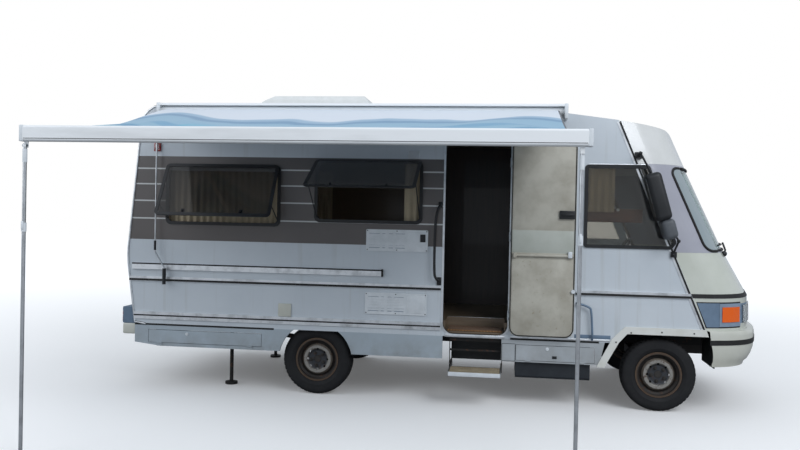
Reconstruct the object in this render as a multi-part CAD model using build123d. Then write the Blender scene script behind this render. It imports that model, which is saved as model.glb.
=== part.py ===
from build123d import *
import os
from math import asin, atan2, cos, degrees, pi, radians, sin, sqrt

# Camper van with a one-piece front, parked with its side awning out.
# Millimetres. While it is modelled, x runs forward from the front axle, y to the van's left,
# z up from the ground. Every piece is moved by one shift at the end, so that the origin lies
# on the ground under the middle of the whole outline, awning included.

# Living body
HALF_WIDTH = 1100.0
WALL = 32.0
WALL_BOTTOM = 605.0
ROOF_TOP = 2690.0
FAR = HALF_WIDTH + 400.0
ROOF_BREAK_X = -1300.0
ROOF_FALL = 0.13
REAR_FOOT_X = -4870.0
REAR_KNEE_X = -4957.0
REAR_KNEE_Z = 1250.0
REAR_LEAN = 0.096
REAR_LIP = 80.0
REAR_CORNER_RADIUS = 210.0
PANEL_GAP = 0.8
SEAT_GAP = 0.3
FLOOR_TOP = 740.0
FLOOR_THICK = 40.0
FLOOR_UNDER = FLOOR_TOP - FLOOR_THICK
FLOOR_FRONT_X = 110.0

# Front end: heights with the x of the nose on the centre plane
NOSE_FOOT_Z = 740.0
NOSE_FOOT_X = 939.0
NOSE_SECTIONS = (
    # height, nose x
    (NOSE_FOOT_Z, NOSE_FOOT_X),
    (1021.0, 931.0),
    (1400.0, 718.0),
    (2198.0, 339.0),
    (2740.0, 94.0),
)
NOSE_RADIUS = 2200.0
CORNER_RADIUS = 480.0
CORNER_Y = HALF_WIDTH - 500.0
CAP_WALL = 26.0
FRONT_ROOF_RADIUS = 290.0
SEAM_TOP_X = -404.0
SEAM_TOP_Z = 2564.0
SEAM_SLOPE = 0.4176
SCREEN_LOW = 1440.0
SCREEN_HIGH = 2165.0
SCREEN_HALF = HALF_WIDTH - 175.0
SCREEN_CORNER = 95.0
SCREEN_THICK = 8.0
DOME_LOW = 2192.0
NOSE_PANEL_TOP = 1418.0
LAMP_LOW = 800.0
LAMP_HIGH = 975.0
LAMP_INNER_Y = HALF_WIDTH - 540.0
GRILLE_HALF = LAMP_INNER_Y - 60.0
GRILLE_SLOTS = 5
GRILLE_PITCH = 29.0
GRILLE_SLOT = 16.0

# Bumpers
BUMPER_SECTIONS = (
    # height, how far it stands proud of the nose on the centre plane
    (345.0, -72.0),
    (440.0, -64.0),
    (470.0, 10.0),
    (570.0, 64.0),
    (700.0, 66.0),
    (NOSE_FOOT_Z - SEAT_GAP, 42.0),
)
BUMPER_WALL = 24.0
BUMPER_WIDER = 20.0
BUMPER_BACK_X = 402.0
REAR_BUMPER_DEPTH = 48.0
REAR_BUMPER_LOW = 500.0
REAR_LAMP_TOP = 760.0
REAR_LAMP_WIDTH = 206.0
REAR_LAMP_INSET = 24.0

# Wheels and axles
WHEELBASE = 3100.0
TYRE_RADIUS = 325.0
TYRE_WIDTH = 188.0
RIM_RADIUS = 188.0
RIM_FLANGE = 201.0
RIM_WALL = 7.0
BEAD_HALF = 72.0
WHEEL_SIDES = 32
HUB_FACE = 46.0
HUB_BACK = 34.0
HUB_BORE = 32.0
VENT_HOLES = 8
VENT_RADIUS = 11.0
VENT_CIRCLE = 94.0
VENT_SIDES = 12
HUB_CLEARANCE = 0.5
STUB_RADIUS = HUB_BORE - HUB_CLEARANCE
LOWER_EYE_Z = TYRE_RADIUS - 93.0
UPPER_TIE_Z = FLOOR_UNDER - 60.0
WHEEL_Y = HALF_WIDTH - 155.0
KINGPIN_OFFSET = 125.0
KINGPIN_RADIUS = 23.0
RAIL_Y = 420.0
RAIL_WIDTH = 70.0
RAIL_LOW = FLOOR_UNDER - 180.0
RAIL_REAR_X = -4700.0
CROSS_MEMBERS = (-4640.0, -3950.0, -2500.0, -1980.0, -1120.0, 560.0)
STEADY_X = -4020.0
OUTRIGGERS = (STEADY_X, -1950.0, -1330.0, -700.0)
OUTRIGGER_HALF = 20.0
TOW_EYE_X = -4930.0
TOW_EYE_Z = 468.0
TOW_EYE_RADIUS = 16.0
TOW_EYE_THICK = 24.0
RAIL_FRONT_X = 620.0
OUTRIGGER_Y = HALF_WIDTH - 45.0
OUTRIGGER_DEPTH = 80.0
ARCH_FRONT_X = TYRE_RADIUS + 75.0
ARCH_REAR_X = -TYRE_RADIUS - 95.0
ARCH_TOP = 2 * TYRE_RADIUS + 40.0
ARCH_LIP = 60.0
REAR_ARCH_RADIUS = TYRE_RADIUS + 25.0
ARCH_TRIM_PROUD = 14.0
ARCH_TRIM_WIDE = 62.0

# Skirts and their flaps
SKIRT_THICK = 25.0
SKIRT_BOTTOM = 400.0
FLAP_TOP = SKIRT_BOTTOM + 152.0
FLAP_THICK = 20.0
FLAP_GAP = 4.0
FLAP_HINGE_RADIUS = 6.0
FLAP_HINGE_DROP = 2.5
FLAP_HINGE_HALF = 25.0
FLAP_HINGE_INSET = 110.0
FLAPS = (
    # node, x low, x high, z low, z high
    ("flap_right_front", -1256.0, -568.0, SKIRT_BOTTOM + 16.0, FLAP_TOP),
    ("flap_right_rear", -4730.0, -3620.0, SKIRT_BOTTOM + 34.0, FLAP_TOP),
)

# Entry door, shown folded right back on the side wall
DOOR_HINGE_X = -1334.0
DOOR_HINGE_OUT = 13.0
DOOR_HINGE_EDGE = 9.0
DOOR_WIDTH = 568.0
DOOR_THICK = 34.0
DOOR_LOW = FLOOR_TOP - 103.0
DOOR_HIGH = 2405.0
DOOR_GAP = 9.0
DOOR_CORNER = 85.0
DOOR_LIP = 3.0
DOOR_CLEAR = 6.0
BARREL_RADIUS = 7.0
BARREL_HALF = 20.0
WALL_BARREL = 22.0

# Driver's door on the left side
CAB_DOOR_REAR = -660.0
CAB_DOOR_SETBACK = 45.0
CAB_HINGE_X = 300.0
CAB_HINGE_OUT = 13.0
CAB_HINGE_Z = 815.0
CAB_DOOR_LOW = 780.0
CAB_DOOR_HIGH = 2230.0
CAB_DOOR_GAP = 8.0
CAB_PANE_EDGE = 70.0
CAB_PANE_FRONT = 130.0
CAB_PANE_Z = (1470.0, 2150.0)

# Windows: name, side, x low, x high, z low, z high, pane opened by degrees
WINDOWS = (
    ("right_rear", -1, -4578.0, -3458.0, 1562.0, 2136.0, 30.0),
    ("right_middle", -1, -3134.0, -2126.0, 1612.0, 2188.0, 62.0),
    ("left_rear", 1, -4578.0, -3458.0, 1562.0, 2136.0, 0.0),
)
REAR_WINDOW_HALF = 520.0
REAR_WINDOW_LOW = 1560.0
REAR_WINDOW_HIGH = 2130.0
FRAME_WIDTH = 30.0
FRAME_PROUD = 12.0
FRAME_CORNER = 55.0
PANE_THICK = 9.0
PANE_GAP = 3.0
PANE_INSET = 12.0
PANE_TOP_DROP = 4.0
HOLE_CORNER = 35.0
PANE_SET_IN = 2.0
PANE_Y = (-HALF_WIDTH + PANE_SET_IN, -HALF_WIDTH + PANE_SET_IN + PANE_THICK)
CAB_WINDOW = ((-686.0, 2176.0), (-132.0, 2176.0), (112.0, 1500.0), (66.0, 1442.0), (-686.0, 1442.0))
CAB_WINDOW_CORNER = 28.0

# Rubbing rails and sill rails: z low, z high, how far they stand proud
MIDDLE_RAIL = (1018.0, 1062.0, 14.0)
UPPER_RAIL = (1130.0, 1190.0, 20.0)
SILL_RAIL = (655.0, 725.0, 12.0)

# Fridge vents: z low, z high of each plate, and the slots in it
VENT_PLATE_X = (-2640.0, -2070.0)
VENT_PLATES = ((1362.0, 1560.0), (782.0, 980.0))
VENT_PLATE_THICK = 10.0
SLOT_COLUMNS = 3
SLOT_ROWS = 6
SLOT_LENGTH = 150.0
SLOT_HEIGHT = 9.0
SLOT_DEPTH = 5.0
SLOT_PITCH = (182.0, 25.0)

# Mirrors
MIRROR_OUT = HALF_WIDTH + 190.0
MIRROR_Y = -MIRROR_OUT + 85.0
MIRROR_TILT = -16.0
MIRROR_HEAD = (-60.0, 1905.0)
MIRROR_HEAD_SIZE = (95.0, 170.0, 370.0)
SMALL_HEAD = (35.0, 1625.0)
SMALL_HEAD_SIZE = (85.0, 150.0, 150.0)
MIRROR_BAR = 9.0
MIRROR_FOOT_PROUD = 24.0
MIRROR_BAR_PROUD = 18.0
MIRROR_FOOT_DEEP = 60.0

# Awning
CASE_REAR_X = -4637.0
CASE_FRONT_X = -857.0
CASE_LOW = ROOF_TOP - 118.0
CASE_HIGH = CASE_LOW + 128.0
CASE_DEPTH = 112.0
CASE_SHEET = 6.0
CASE_SILL = 62.0
ROLLER_RADIUS = 33.0
ARM_LENGTH = 1150.0
ARM_HEIGHT = 34.0
ARM_WIDTH = 40.0
ARM_ANGLE = 67.0
SHOULDER_INSET = 165.0
SHOULDER_OUT = 58.0
PIN_RADIUS = 8.0
PIN_CLEARANCE = 0.3
WRIST_GAP = 30.0
SHOULDER_Z = CASE_LOW + 24.0
LEAD_HEIGHT = 108.0
LEAD_DEPTH = 62.0
LEAD_LAP = 12.0
LEAD_Z = 2143.0
WRIST_Z = LEAD_Z + 33.0
LEG_RADIUS = 13.0
LEG_STAGGER = 16.0
LEG_PIVOT_DROP = 30.0
LEG_FOOT = 22.0
LEG_PIN = 6.0
LEG_FLAT = 22.0
LEG_INSETS = (25.0, 48.0)
LEGS = ((CASE_REAR_X + LEG_INSETS[0], -1, "rear"), (CASE_FRONT_X - LEG_INSETS[1], 1, "front"))
LEG_FOOT_THICK = 14.0
FABRIC_THICK = 5.0
FABRIC_SAG = 20.0
FABRIC_INSET = 70.0
CRANK_RADIUS = 7.0
CRANK_GRIP = 14.0
CRANK_OUT = 60.0

# Steering wheel
STEERING_RADIUS = 190.0
STEERING_SIDES = 24
GRIP_RADIUS = 14.0
GRIP_SIDES = 6

# Step, hatch, steady legs
STEP_REAR_X = -1852.0
STEP_FRONT_X = -1385.0
STEP_LOW = 292.0
STEP_THICK = 34.0
STEP_TREAD = 290.0
STEP_OUT = 235.0
STEP_PLATE_INSET = 5.0
STEP_RUNNER = 8.0
STEP_GUIDE = 6.0
STEP_BAR_Z = 478.0
STEP_BAR = 16.0
WELL_X = (-1915.0, -1354.0)
WELL_Y = (-HALF_WIDTH + 42.0, -HALF_WIDTH + 360.0)
WELL_Z = (FLOOR_TOP - 110.0, FLOOR_TOP - 94.0)
WELL_WALL = 12.0
STEP_GUIDE_LENGTH = 355.0
HATCH_REAR_X = -3920.0
HATCH_FRONT_X = -2750.0
HATCH_HALF = 370.0
HATCH_TOP = ROOF_TOP + 208.0
HATCH_BASE = 70.0
HATCH_RIM = 60.0
HATCH_LID_INSET = 25.0
HATCH_LID_WALL = 35.0
HATCH_TAPER_HEIGHT = 70.0
HATCH_TAPER_REAR = 126.0
HATCH_TAPER_FRONT = 57.0
HATCH_PIN_X = -2765.0
HATCH_PIN_RISE = 8.0
HATCH_PIN_RADIUS = 7.0
HATCH_KNUCKLE = 40.0
HATCH_KNUCKLE_Y = 250.0
STEADY_Y = 760.0
STEADY_PIVOT_Z = FLOOR_UNDER - 140.0
STEADY_PIVOT_WIDTH = 50.0
STEADY_LUG = 10.0
STEADY_LUG_HALF = 30.0
STEADY_LEG = 18.0
STEADY_EYE = 26.0
STEADY_FOOT = 60.0
STEADY_FOOT_THICK = 24.0

# Axles: half sizes and lengths
AXLE_TUBE = 38.0
FLANGE_RADIUS = 110.0
SPRING_REACH = 640.0
SPRING_END = 50.0
SPRING_HALF = 30.0
BRAKE_DISC_RADIUS = 118.0
STUB_REACH = 40.0

# Engine, tanks
ENGINE_X = (FLOOR_FRONT_X + 20.0, 525.0)
ENGINE_Z = (430.0, 960.0)
WASTE_TANK_X = (-1261.0, -600.0)
WASTE_TANK_Y = (-HALF_WIDTH + 40.0, -HALF_WIDTH + 540.0)
WASTE_TANK_LOW = 250.0
FUEL_TANK_X = (-2350.0, -1500.0)
FUEL_TANK_Y = (HALF_WIDTH - 540.0, HALF_WIDTH - 100.0)
FUEL_TANK_LOW = 300.0

# Cab and living space
SEAT_Y = 520.0
SEAT_HALF = 235.0
SEAT_TOP = 1210.0
SEAT_BASE_TOP = 1095.0
BACKREST_LEAN = -12.0
DASH_HALF = HALF_WIDTH - 240.0
DASH_OUTLINE = (
    (-60.0, 1010.0), (760.0, 1010.0), (760.0, 1330.0),
    (420.0, 1330.0), (120.0, 1250.0), (-20.0, 1150.0),
)
COLUMN_TOP = (-150.0, 1330.0)
COLUMN_FOOT = (90.0, 1180.0)
COLUMN_RADIUS = 24.0
FURNITURE = (
    # side, x low, x high, depth from the wall, top: kitchen, partition, two benches, wardrobe, cupboard
    (-1, -3090.0, -1960.0, 548.0, 1590.0),
    (-1, -1312.0, -1282.0, 648.0, 2440.0),
    (-1, -4700.0, -3150.0, 618.0, 1180.0),
    (1, -4700.0, -2400.0, 618.0, 1180.0),
    (1, -2360.0, -1290.0, 648.0, 2440.0),
    (1, -1250.0, -900.0, 588.0, 1400.0),
)
CURTAIN_THICK = 22.0

os.makedirs("parts", exist_ok=True)

# Where the outline ends, and the shift that centres it
TOP_DROP = SHOULDER_Z - WRIST_Z
ARM_REACH = 2 * ARM_LENGTH * sin(radians(ARM_ANGLE))
ARM_OUT = sqrt(ARM_REACH ** 2 - TOP_DROP ** 2)
ARM_TILT = degrees(atan2(TOP_DROP, ARM_OUT))
SHOULDER_Y = -HALF_WIDTH - SHOULDER_OUT
WRIST_Y = SHOULDER_Y - ARM_OUT
LEAD_FRONT_Y = WRIST_Y - LEAD_DEPTH - WRIST_GAP
NOSE_TIP_X = NOSE_FOOT_X + BUMPER_SECTIONS[4][1]
TAIL_X = REAR_KNEE_X - REAR_BUMPER_DEPTH
SHIFT = Vector(-(NOSE_TIP_X + TAIL_X) / 2, -(MIRROR_OUT + LEAD_FRONT_Y) / 2, 0)


def save(node, shape):
    """Move one finished piece into the shared frame and write it."""
    export_step(shape.moved(Location(SHIFT)), "parts/" + node + ".step")


def box(x, y, z):
    """A box from three (low, high) pairs."""
    size = [high - low for low, high in (x, y, z)]
    middle = [(high + low) / 2 for low, high in (x, y, z)]
    return Pos(*middle) * Box(*size)


def tube(start, end, radius):
    """A round bar between two points."""
    start, end = Vector(start), Vector(end)
    plane = Plane(origin=start, z_dir=end - start)
    return extrude(plane * Circle(radius), (end - start).length)


def side_plate(points, y_low, y_high):
    """A plate with an outline in x and z, between two y values."""
    face = make_face(Polyline(*[(x, 0, z) for x, z in points], close=True))
    return extrude(face, amount=y_high - y_low, dir=(0, 1, 0)).moved(Location((0, y_low, 0)))


def rounded_plate(x, z, corner, y_low, y_high):
    """A plate with rounded corners, flat across y."""
    sketch = Rot(90, 0, 0) * RectangleRounded(x[1] - x[0], z[1] - z[0], corner)
    sketch = Pos((x[0] + x[1]) / 2, y_low, (z[0] + z[1]) / 2) * sketch
    return extrude(sketch, amount=y_high - y_low, dir=(0, 1, 0))


def mirrored(shape):
    return mirror(shape, Plane.XZ)


def stepped_ring(points, sides):
    """A ring about X with flat steps: its outline of (x, radius) points, closed, in so many sides."""
    true_radius = 1 / cos(pi / sides)
    turns = [2 * pi * (index + 0.5) / sides for index in range(sides)]
    rows = [[Vector(x, r * true_radius * sin(a), r * true_radius * cos(a)) for a in turns]
            for x, r in points]
    quads = []
    for row, after in zip(rows, rows[1:] + rows[:1]):
        for index in range(sides):
            follow = (index + 1) % sides
            corners = (row[index], row[follow], after[follow], after[index])
            quads.append(Face(Wire.make_polygon(corners, close=True)))
    ring = Solid(Shell(quads))
    return ring if ring.volume > 0 else Solid(ring.wrapped.Reversed())


def group(*shapes):
    """Separate solids kept together as one piece."""
    return Compound([solid for shape in shapes for solid in shape.solids()])


def both(shape):
    """A piece and its twin on the other side, which don't touch."""
    return group(shape, mirrored(shape))


def seam_x(z):
    """Where the flat side wall ends and the moulded front begins."""
    return SEAM_TOP_X + (SEAM_TOP_Z - z) * SEAM_SLOPE


def plan_outline(z, tip, inset, back_x=None):
    """Plan outline of the front at one height: side lines, two corner arcs and a front arc."""
    back = Vector(seam_x(z) if back_x is None else back_x, HALF_WIDTH - inset)
    centre_x = tip - NOSE_RADIUS
    reach = NOSE_RADIUS - CORNER_RADIUS
    corner = Vector(centre_x + sqrt(reach ** 2 - CORNER_Y ** 2), CORNER_Y)
    corner_r = CORNER_RADIUS - inset
    away = corner - back
    heading = atan2(away.Y, away.X) + asin(corner_r / away.length)
    join = atan2(CORNER_Y, corner.X - centre_x)

    def on_corner(angle):
        return Vector(corner.X + corner_r * cos(angle), corner.Y + corner_r * sin(angle), z)

    side_end = on_corner(heading + pi / 2)
    middle = on_corner((heading + pi / 2 + join) / 2)
    front_end = on_corner(join)
    tip_point = Vector(tip - inset, 0, z)
    back_point = Vector(back.X, back.Y, z)

    def flip(point):
        return Vector(point.X, -point.Y, point.Z)

    edges = [
        Edge.make_line(back_point, side_end),
        Edge.make_three_point_arc(side_end, middle, front_end),
        Edge.make_three_point_arc(front_end, tip_point, flip(front_end)),
        Edge.make_three_point_arc(flip(front_end), flip(middle), flip(side_end)),
        Edge.make_line(flip(side_end), flip(back_point)),
        Edge.make_line(flip(back_point), back_point),
    ]
    return Wire(edges)


def front_solid(inset):
    """The moulded front as a solid, drawn in by an even inset."""
    wires = [plan_outline(z, x, inset) for z, x in NOSE_SECTIONS]
    return Solid.make_loft(wires, ruled=True)


# Side outline of the whole body, roof and windscreen line included
SCREEN_SLOPE = (NOSE_SECTIONS[2][1] - NOSE_SECTIONS[3][1]) / (NOSE_SECTIONS[3][0] - NOSE_SECTIONS[2][0])


def body_profile():
    """The long section of the body, with its rounded rear and front roof corners."""
    rear_top_x = REAR_KNEE_X + REAR_LEAN * (ROOF_TOP - REAR_KNEE_Z)
    screen_x, screen_z = NOSE_SECTIONS[3][1] + 2.0, NOSE_SECTIONS[3][0]
    top_x = screen_x - SCREEN_SLOPE * (ROOF_TOP - screen_z)
    fall_x = (top_x - SCREEN_SLOPE * ROOF_FALL * ROOF_BREAK_X) / (1 - SCREEN_SLOPE * ROOF_FALL)
    fall_z = ROOF_TOP - ROOF_FALL * (fall_x - ROOF_BREAK_X)
    foot_x = screen_x + SCREEN_SLOPE * (screen_z - WALL_BOTTOM)
    points = (
        (REAR_FOOT_X, WALL_BOTTOM),
        (REAR_KNEE_X, REAR_KNEE_Z),
        (rear_top_x, ROOF_TOP),
        (ROOF_BREAK_X, ROOF_TOP),
        (fall_x, fall_z),
        (foot_x, WALL_BOTTOM),
    )
    face = make_face(Polyline(*[(x, 0, z) for x, z in points], close=True))
    rounds = ((1, 900.0), (2, REAR_CORNER_RADIUS), (3, 2500.0), (4, FRONT_ROOF_RADIUS))
    for index, radius in rounds:
        x, z = points[index]
        corner = face.vertices().sort_by_distance((x, 0, z))[0]
        face = fillet(corner, radius)
    return face


PROFILE = body_profile()
INNER_PROFILE = offset(PROFILE, -WALL, kind=Kind.INTERSECTION)


def prism(face, y):
    """A face drawn in x and z, made solid between two y values."""
    return extrude(face, amount=y[1] - y[0], dir=(0, 1, 0)).moved(Location((0, y[0], 0)))


def behind_seam(gap):
    """Everything behind the slanted seam of the front."""
    low, high = 0.0, 3200.0
    points = ((-6000, low), (seam_x(low) - gap, low), (seam_x(high) - gap, high), (-6000, high))
    return side_plate(points, -FAR, FAR)


def level(z_low, z_high):
    return box((-6000, 2000), (-FAR, FAR), (z_low, z_high))


BEHIND = behind_seam(PANEL_GAP / 2)
OUTER_BODY = prism(PROFILE, (-HALF_WIDTH, HALF_WIDTH))


# Side walls, cut for windows, doors and the front wheel arches
def window_cut(side, x, z, corner, grow=0.0):
    y = (-FAR, 0) if side < 0 else (0, FAR)
    wide = (x[0] - grow, x[1] + grow)
    tall = (z[0] - grow, z[1] + grow)
    return rounded_plate(wide, tall, corner + grow, *y)


def cab_window_outline(grow):
    face = make_face(Polyline(*[(x, 0, z) for x, z in CAB_WINDOW], close=True))
    face = fillet(face.vertices(), CAB_WINDOW_CORNER)
    return offset(face, grow) if grow else face


def cab_window_cut(side, grow=0.0):
    low = -FAR if side < 0 else 0
    return prism(cab_window_outline(grow), (low, low + FAR))


def arch_cut():
    outline = (
        (ARCH_REAR_X - 110, 0), (ARCH_REAR_X - 60, 480), (ARCH_REAR_X + 60, ARCH_TOP),
        (ARCH_FRONT_X + ARCH_LIP, ARCH_TOP), (ARCH_FRONT_X + ARCH_LIP, 0),
    )
    return side_plate(outline, -FAR, FAR)


DOOR_OPEN_X = (DOOR_HINGE_X - DOOR_HINGE_EDGE - DOOR_WIDTH - DOOR_GAP, DOOR_HINGE_X - DOOR_LIP)
DOOR_OPEN_Z = (DOOR_LOW - DOOR_GAP, DOOR_HIGH + DOOR_GAP)
WALL_BLANK = prism(PROFILE, (-HALF_WIDTH, -HALF_WIDTH + WALL)) & BEHIND
WALL_BLANK = WALL_BLANK - arch_cut()

right_wall = WALL_BLANK
left_wall = mirrored(WALL_BLANK)
for name, side, x_low, x_high, z_low, z_high, opened in WINDOWS:
    hole = window_cut(side, (x_low + FRAME_WIDTH, x_high - FRAME_WIDTH),
                      (z_low + FRAME_WIDTH, z_high - FRAME_WIDTH), HOLE_CORNER)
    if side < 0:
        right_wall = right_wall - hole
    else:
        left_wall = left_wall - hole
right_wall = right_wall - cab_window_cut(-1, -FRAME_WIDTH)
right_wall = right_wall - rounded_plate(DOOR_OPEN_X, DOOR_OPEN_Z, DOOR_CORNER + DOOR_GAP, -FAR, 0)


def cab_door_face(grow):
    """Driver's door: its front edge follows the seam of the front."""
    front = [(seam_x(z) - CAB_DOOR_SETBACK, 0, z) for z in (CAB_DOOR_LOW, CAB_DOOR_HIGH)]
    rear = [(CAB_DOOR_REAR, 0, z) for z in (CAB_DOOR_HIGH, CAB_DOOR_LOW)]
    face = make_face(Polyline(*front, *rear, close=True))
    return offset(face, grow, kind=Kind.INTERSECTION) if grow else face


def barrel(x, y, z_low, z_high, leaf_x, leaf_y):
    """A hinge knuckle on an upright axis, with the leaf that carries it."""
    height = z_high - z_low
    knuckle = Pos(x, y, (z_low + z_high) / 2) * Cylinder(BARREL_RADIUS, height)
    return knuckle + box(leaf_x, leaf_y, (z_low, z_high))


left_wall = left_wall - prism(cab_door_face(CAB_DOOR_GAP), (0, FAR))
entry_hinge = Vector(DOOR_HINGE_X, -HALF_WIDTH - DOOR_HINGE_OUT, 0)
entry_hinge_z = (DOOR_LOW + 180, (DOOR_LOW + DOOR_HIGH) / 2, DOOR_HIGH - 220)
for z in entry_hinge_z:
    for low, high in ((z - BARREL_HALF - WALL_BARREL, z - BARREL_HALF - SEAT_GAP),
                      (z + BARREL_HALF + SEAT_GAP, z + BARREL_HALF + WALL_BARREL)):
        right_wall = right_wall + barrel(
            entry_hinge.X, entry_hinge.Y, low, high,
            (entry_hinge.X, entry_hinge.X + 30), (entry_hinge.Y, -HALF_WIDTH + 1))
cab_hinge = Vector(CAB_HINGE_X, HALF_WIDTH + CAB_HINGE_OUT, CAB_HINGE_Z)
for low, high in ((CAB_HINGE_Z - BARREL_HALF - 15, CAB_HINGE_Z - BARREL_HALF - SEAT_GAP),
                  (CAB_HINGE_Z + BARREL_HALF + SEAT_GAP, CAB_HINGE_Z + BARREL_HALF + 15)):
    left_wall = left_wall + barrel(cab_hinge.X, cab_hinge.Y, low, high,
                                   (cab_hinge.X, cab_hinge.X + 6), (HALF_WIDTH - 1, cab_hinge.Y))
save("side_wall_right", right_wall)
save("side_wall_left", left_wall)

# Roof, rear wall and floor, between the side walls
INSIDE = HALF_WIDTH - WALL
ring = prism(PROFILE, (-INSIDE, INSIDE)) - prism(INNER_PROFILE, (-FAR, FAR))
ring = ring & BEHIND
REAR_SPLIT_Z = ROOF_TOP - REAR_CORNER_RADIUS - 60
rear_zone = box((-6000, REAR_FOOT_X + REAR_LIP), (-FAR, FAR), (0, REAR_SPLIT_Z - PANEL_GAP))
rear_wall = ring & rear_zone
roof = ring & box((-6000, 2000), (-FAR, FAR), (REAR_SPLIT_Z, 3200))
hatch_x = (HATCH_REAR_X, HATCH_FRONT_X)
hatch_hole = box((hatch_x[0] + HATCH_RIM, hatch_x[1] - HATCH_RIM),
                 (-HATCH_HALF + HATCH_RIM, HATCH_HALF - HATCH_RIM), (ROOF_TOP - 190, ROOF_TOP + 310))
roof = roof - hatch_hole
rear_hole = box((-6000, -4500), (-REAR_WINDOW_HALF, REAR_WINDOW_HALF), (REAR_WINDOW_LOW, REAR_WINDOW_HIGH))
rear_wall = rear_wall - rear_hole
save("roof_panel", roof)
save("rear_wall", rear_wall)
floor_rear = REAR_FOOT_X + 60
floor = box((floor_rear, FLOOR_FRONT_X), (-INSIDE, INSIDE), (FLOOR_TOP - FLOOR_THICK, FLOOR_TOP))
floor = floor - box(DOOR_OPEN_X, (-FAR, -HALF_WIDTH + DOOR_THICK + DOOR_CLEAR), (0, FLOOR_TOP + 1))
well = box(WELL_X, WELL_Y, (WELL_Z[0], FLOOR_TOP))
well_inside_x = (WELL_X[0] + WELL_WALL, WELL_X[1] - WELL_WALL)
well_inside = box(well_inside_x, (-FAR, WELL_Y[1] - WELL_WALL), (WELL_Z[1], FLOOR_TOP + 1))
floor = floor + well - well_inside
save("floor_panel", floor)

# Moulded front: dome over the cab, windscreen surround and nose
cap_profile = offset(PROFILE, -CAP_WALL, kind=Kind.INTERSECTION)
front = front_solid(0) & prism(PROFILE, (-FAR, FAR))
front = front - (front_solid(CAP_WALL) & prism(cap_profile, (-FAR, FAR)))
front = front - behind_seam(-PANEL_GAP / 2)


def screen_block(gap):
    """A block with the windscreen's outline as seen from the front, less a gap all round."""
    outline = Plane.YZ * Pos(0, (SCREEN_LOW + SCREEN_HIGH) / 2) * RectangleRounded(
        2 * (SCREEN_HALF - gap), SCREEN_HIGH - SCREEN_LOW - 2 * gap, SCREEN_CORNER)
    return extrude(outline, amount=1600, dir=(1, 0, 0)).moved(Location((-200, 0, 0)))


screen_cut = screen_block(0)
front = front - screen_cut - cab_window_cut(-1, -FRAME_WIDTH)
dome = front & level(DOME_LOW + PANEL_GAP / 2, 3200)
surround = front & level(NOSE_PANEL_TOP + PANEL_GAP / 2, DOME_LOW - PANEL_GAP / 2)
nose = front & level(0, NOSE_PANEL_TOP - PANEL_GAP / 2)
for side in (-1, 1):
    lamp_y = (LAMP_INNER_Y, FAR) if side > 0 else (-FAR, -LAMP_INNER_Y)
    nose = nose - box((500, 1200), lamp_y, (LAMP_LOW, LAMP_HIGH))
grille_z = (LAMP_LOW + 10, LAMP_HIGH - 10)
nose = nose - box((500, 1200), (-GRILLE_HALF, GRILLE_HALF), grille_z)
save("front_dome", dome)
save("windscreen_surround", surround)
save("nose_panel", nose)

# Windscreen, a curved sheet in its rubber
screen_sheet = front_solid(4.0) - front_solid(4.0 + SCREEN_THICK)
windscreen = screen_sheet & screen_block(SEAT_GAP)
save("windscreen", windscreen)

# Front lamps and grille, set into the nose
lamp_skin = front_solid(1.0) - front_solid(30.0)
lamps = []
for side in (-1, 1):
    low, high = LAMP_INNER_Y + SEAT_GAP, FAR
    lamp_y = (low, high) if side > 0 else (-high, -low)
    lamp = lamp_skin & box((501, 1200), lamp_y, (LAMP_LOW + SEAT_GAP, LAMP_HIGH - SEAT_GAP))
    lamps.append(lamp)
grille_frame = lamp_skin & box((501, 1200), (-GRILLE_HALF + SEAT_GAP, GRILLE_HALF - SEAT_GAP),
                               (grille_z[0] + SEAT_GAP, grille_z[1] - SEAT_GAP))
for index in range(GRILLE_SLOTS):
    z = grille_z[0] + 14 + GRILLE_PITCH * index
    slot = box((500, 1200), (-GRILLE_HALF + 20, GRILLE_HALF - 20), (z, z + GRILLE_SLOT))
    grille_frame = grille_frame - slot
save("front_grille", grille_frame)

# Front bumper: a hollow moulding that wraps the corners
def bumper_solid(drawn_in, back_x):
    """The bumper's outer form, drawn in by an even wall."""
    wires = []
    for z, proud in BUMPER_SECTIONS:
        tip = NOSE_FOOT_X + proud - BUMPER_WIDER
        wires.append(plan_outline(z, tip, drawn_in - BUMPER_WIDER, back_x))
    return Solid.make_loft(wires, ruled=True)


bumper_low, bumper_high = BUMPER_SECTIONS[0][0], BUMPER_SECTIONS[-1][0]
bumper_hollow = bumper_solid(BUMPER_WALL, BUMPER_BACK_X - 1)
bumper_hollow = bumper_hollow & level(bumper_low - 1, bumper_high - BUMPER_WALL)
top_hole = [plan_outline(z, NOSE_FOOT_X, CAP_WALL, BUMPER_BACK_X - 1)
            for z in (bumper_high - BUMPER_WALL - 1, bumper_high + 1)]
bumper = bumper_solid(0, BUMPER_BACK_X) - bumper_hollow - Solid.make_loft(top_hole, ruled=True)
rear_bumper = box((TAIL_X, REAR_FOOT_X), (-HALF_WIDTH + BUMPER_WIDER, HALF_WIDTH - BUMPER_WIDER),
                  (REAR_BUMPER_LOW, WALL_BOTTOM))
save("bumpers", group(bumper, rear_bumper))
rear_lamp_y = (-HALF_WIDTH + REAR_LAMP_INSET, -HALF_WIDTH + REAR_LAMP_INSET + REAR_LAMP_WIDTH)
rear_lamp = box((TAIL_X, REAR_FOOT_X), rear_lamp_y, (WALL_BOTTOM, REAR_LAMP_TOP)) - OUTER_BODY
rear_lamps = both(rear_lamp)
save("lamps", group(*lamps, rear_lamps))


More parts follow.
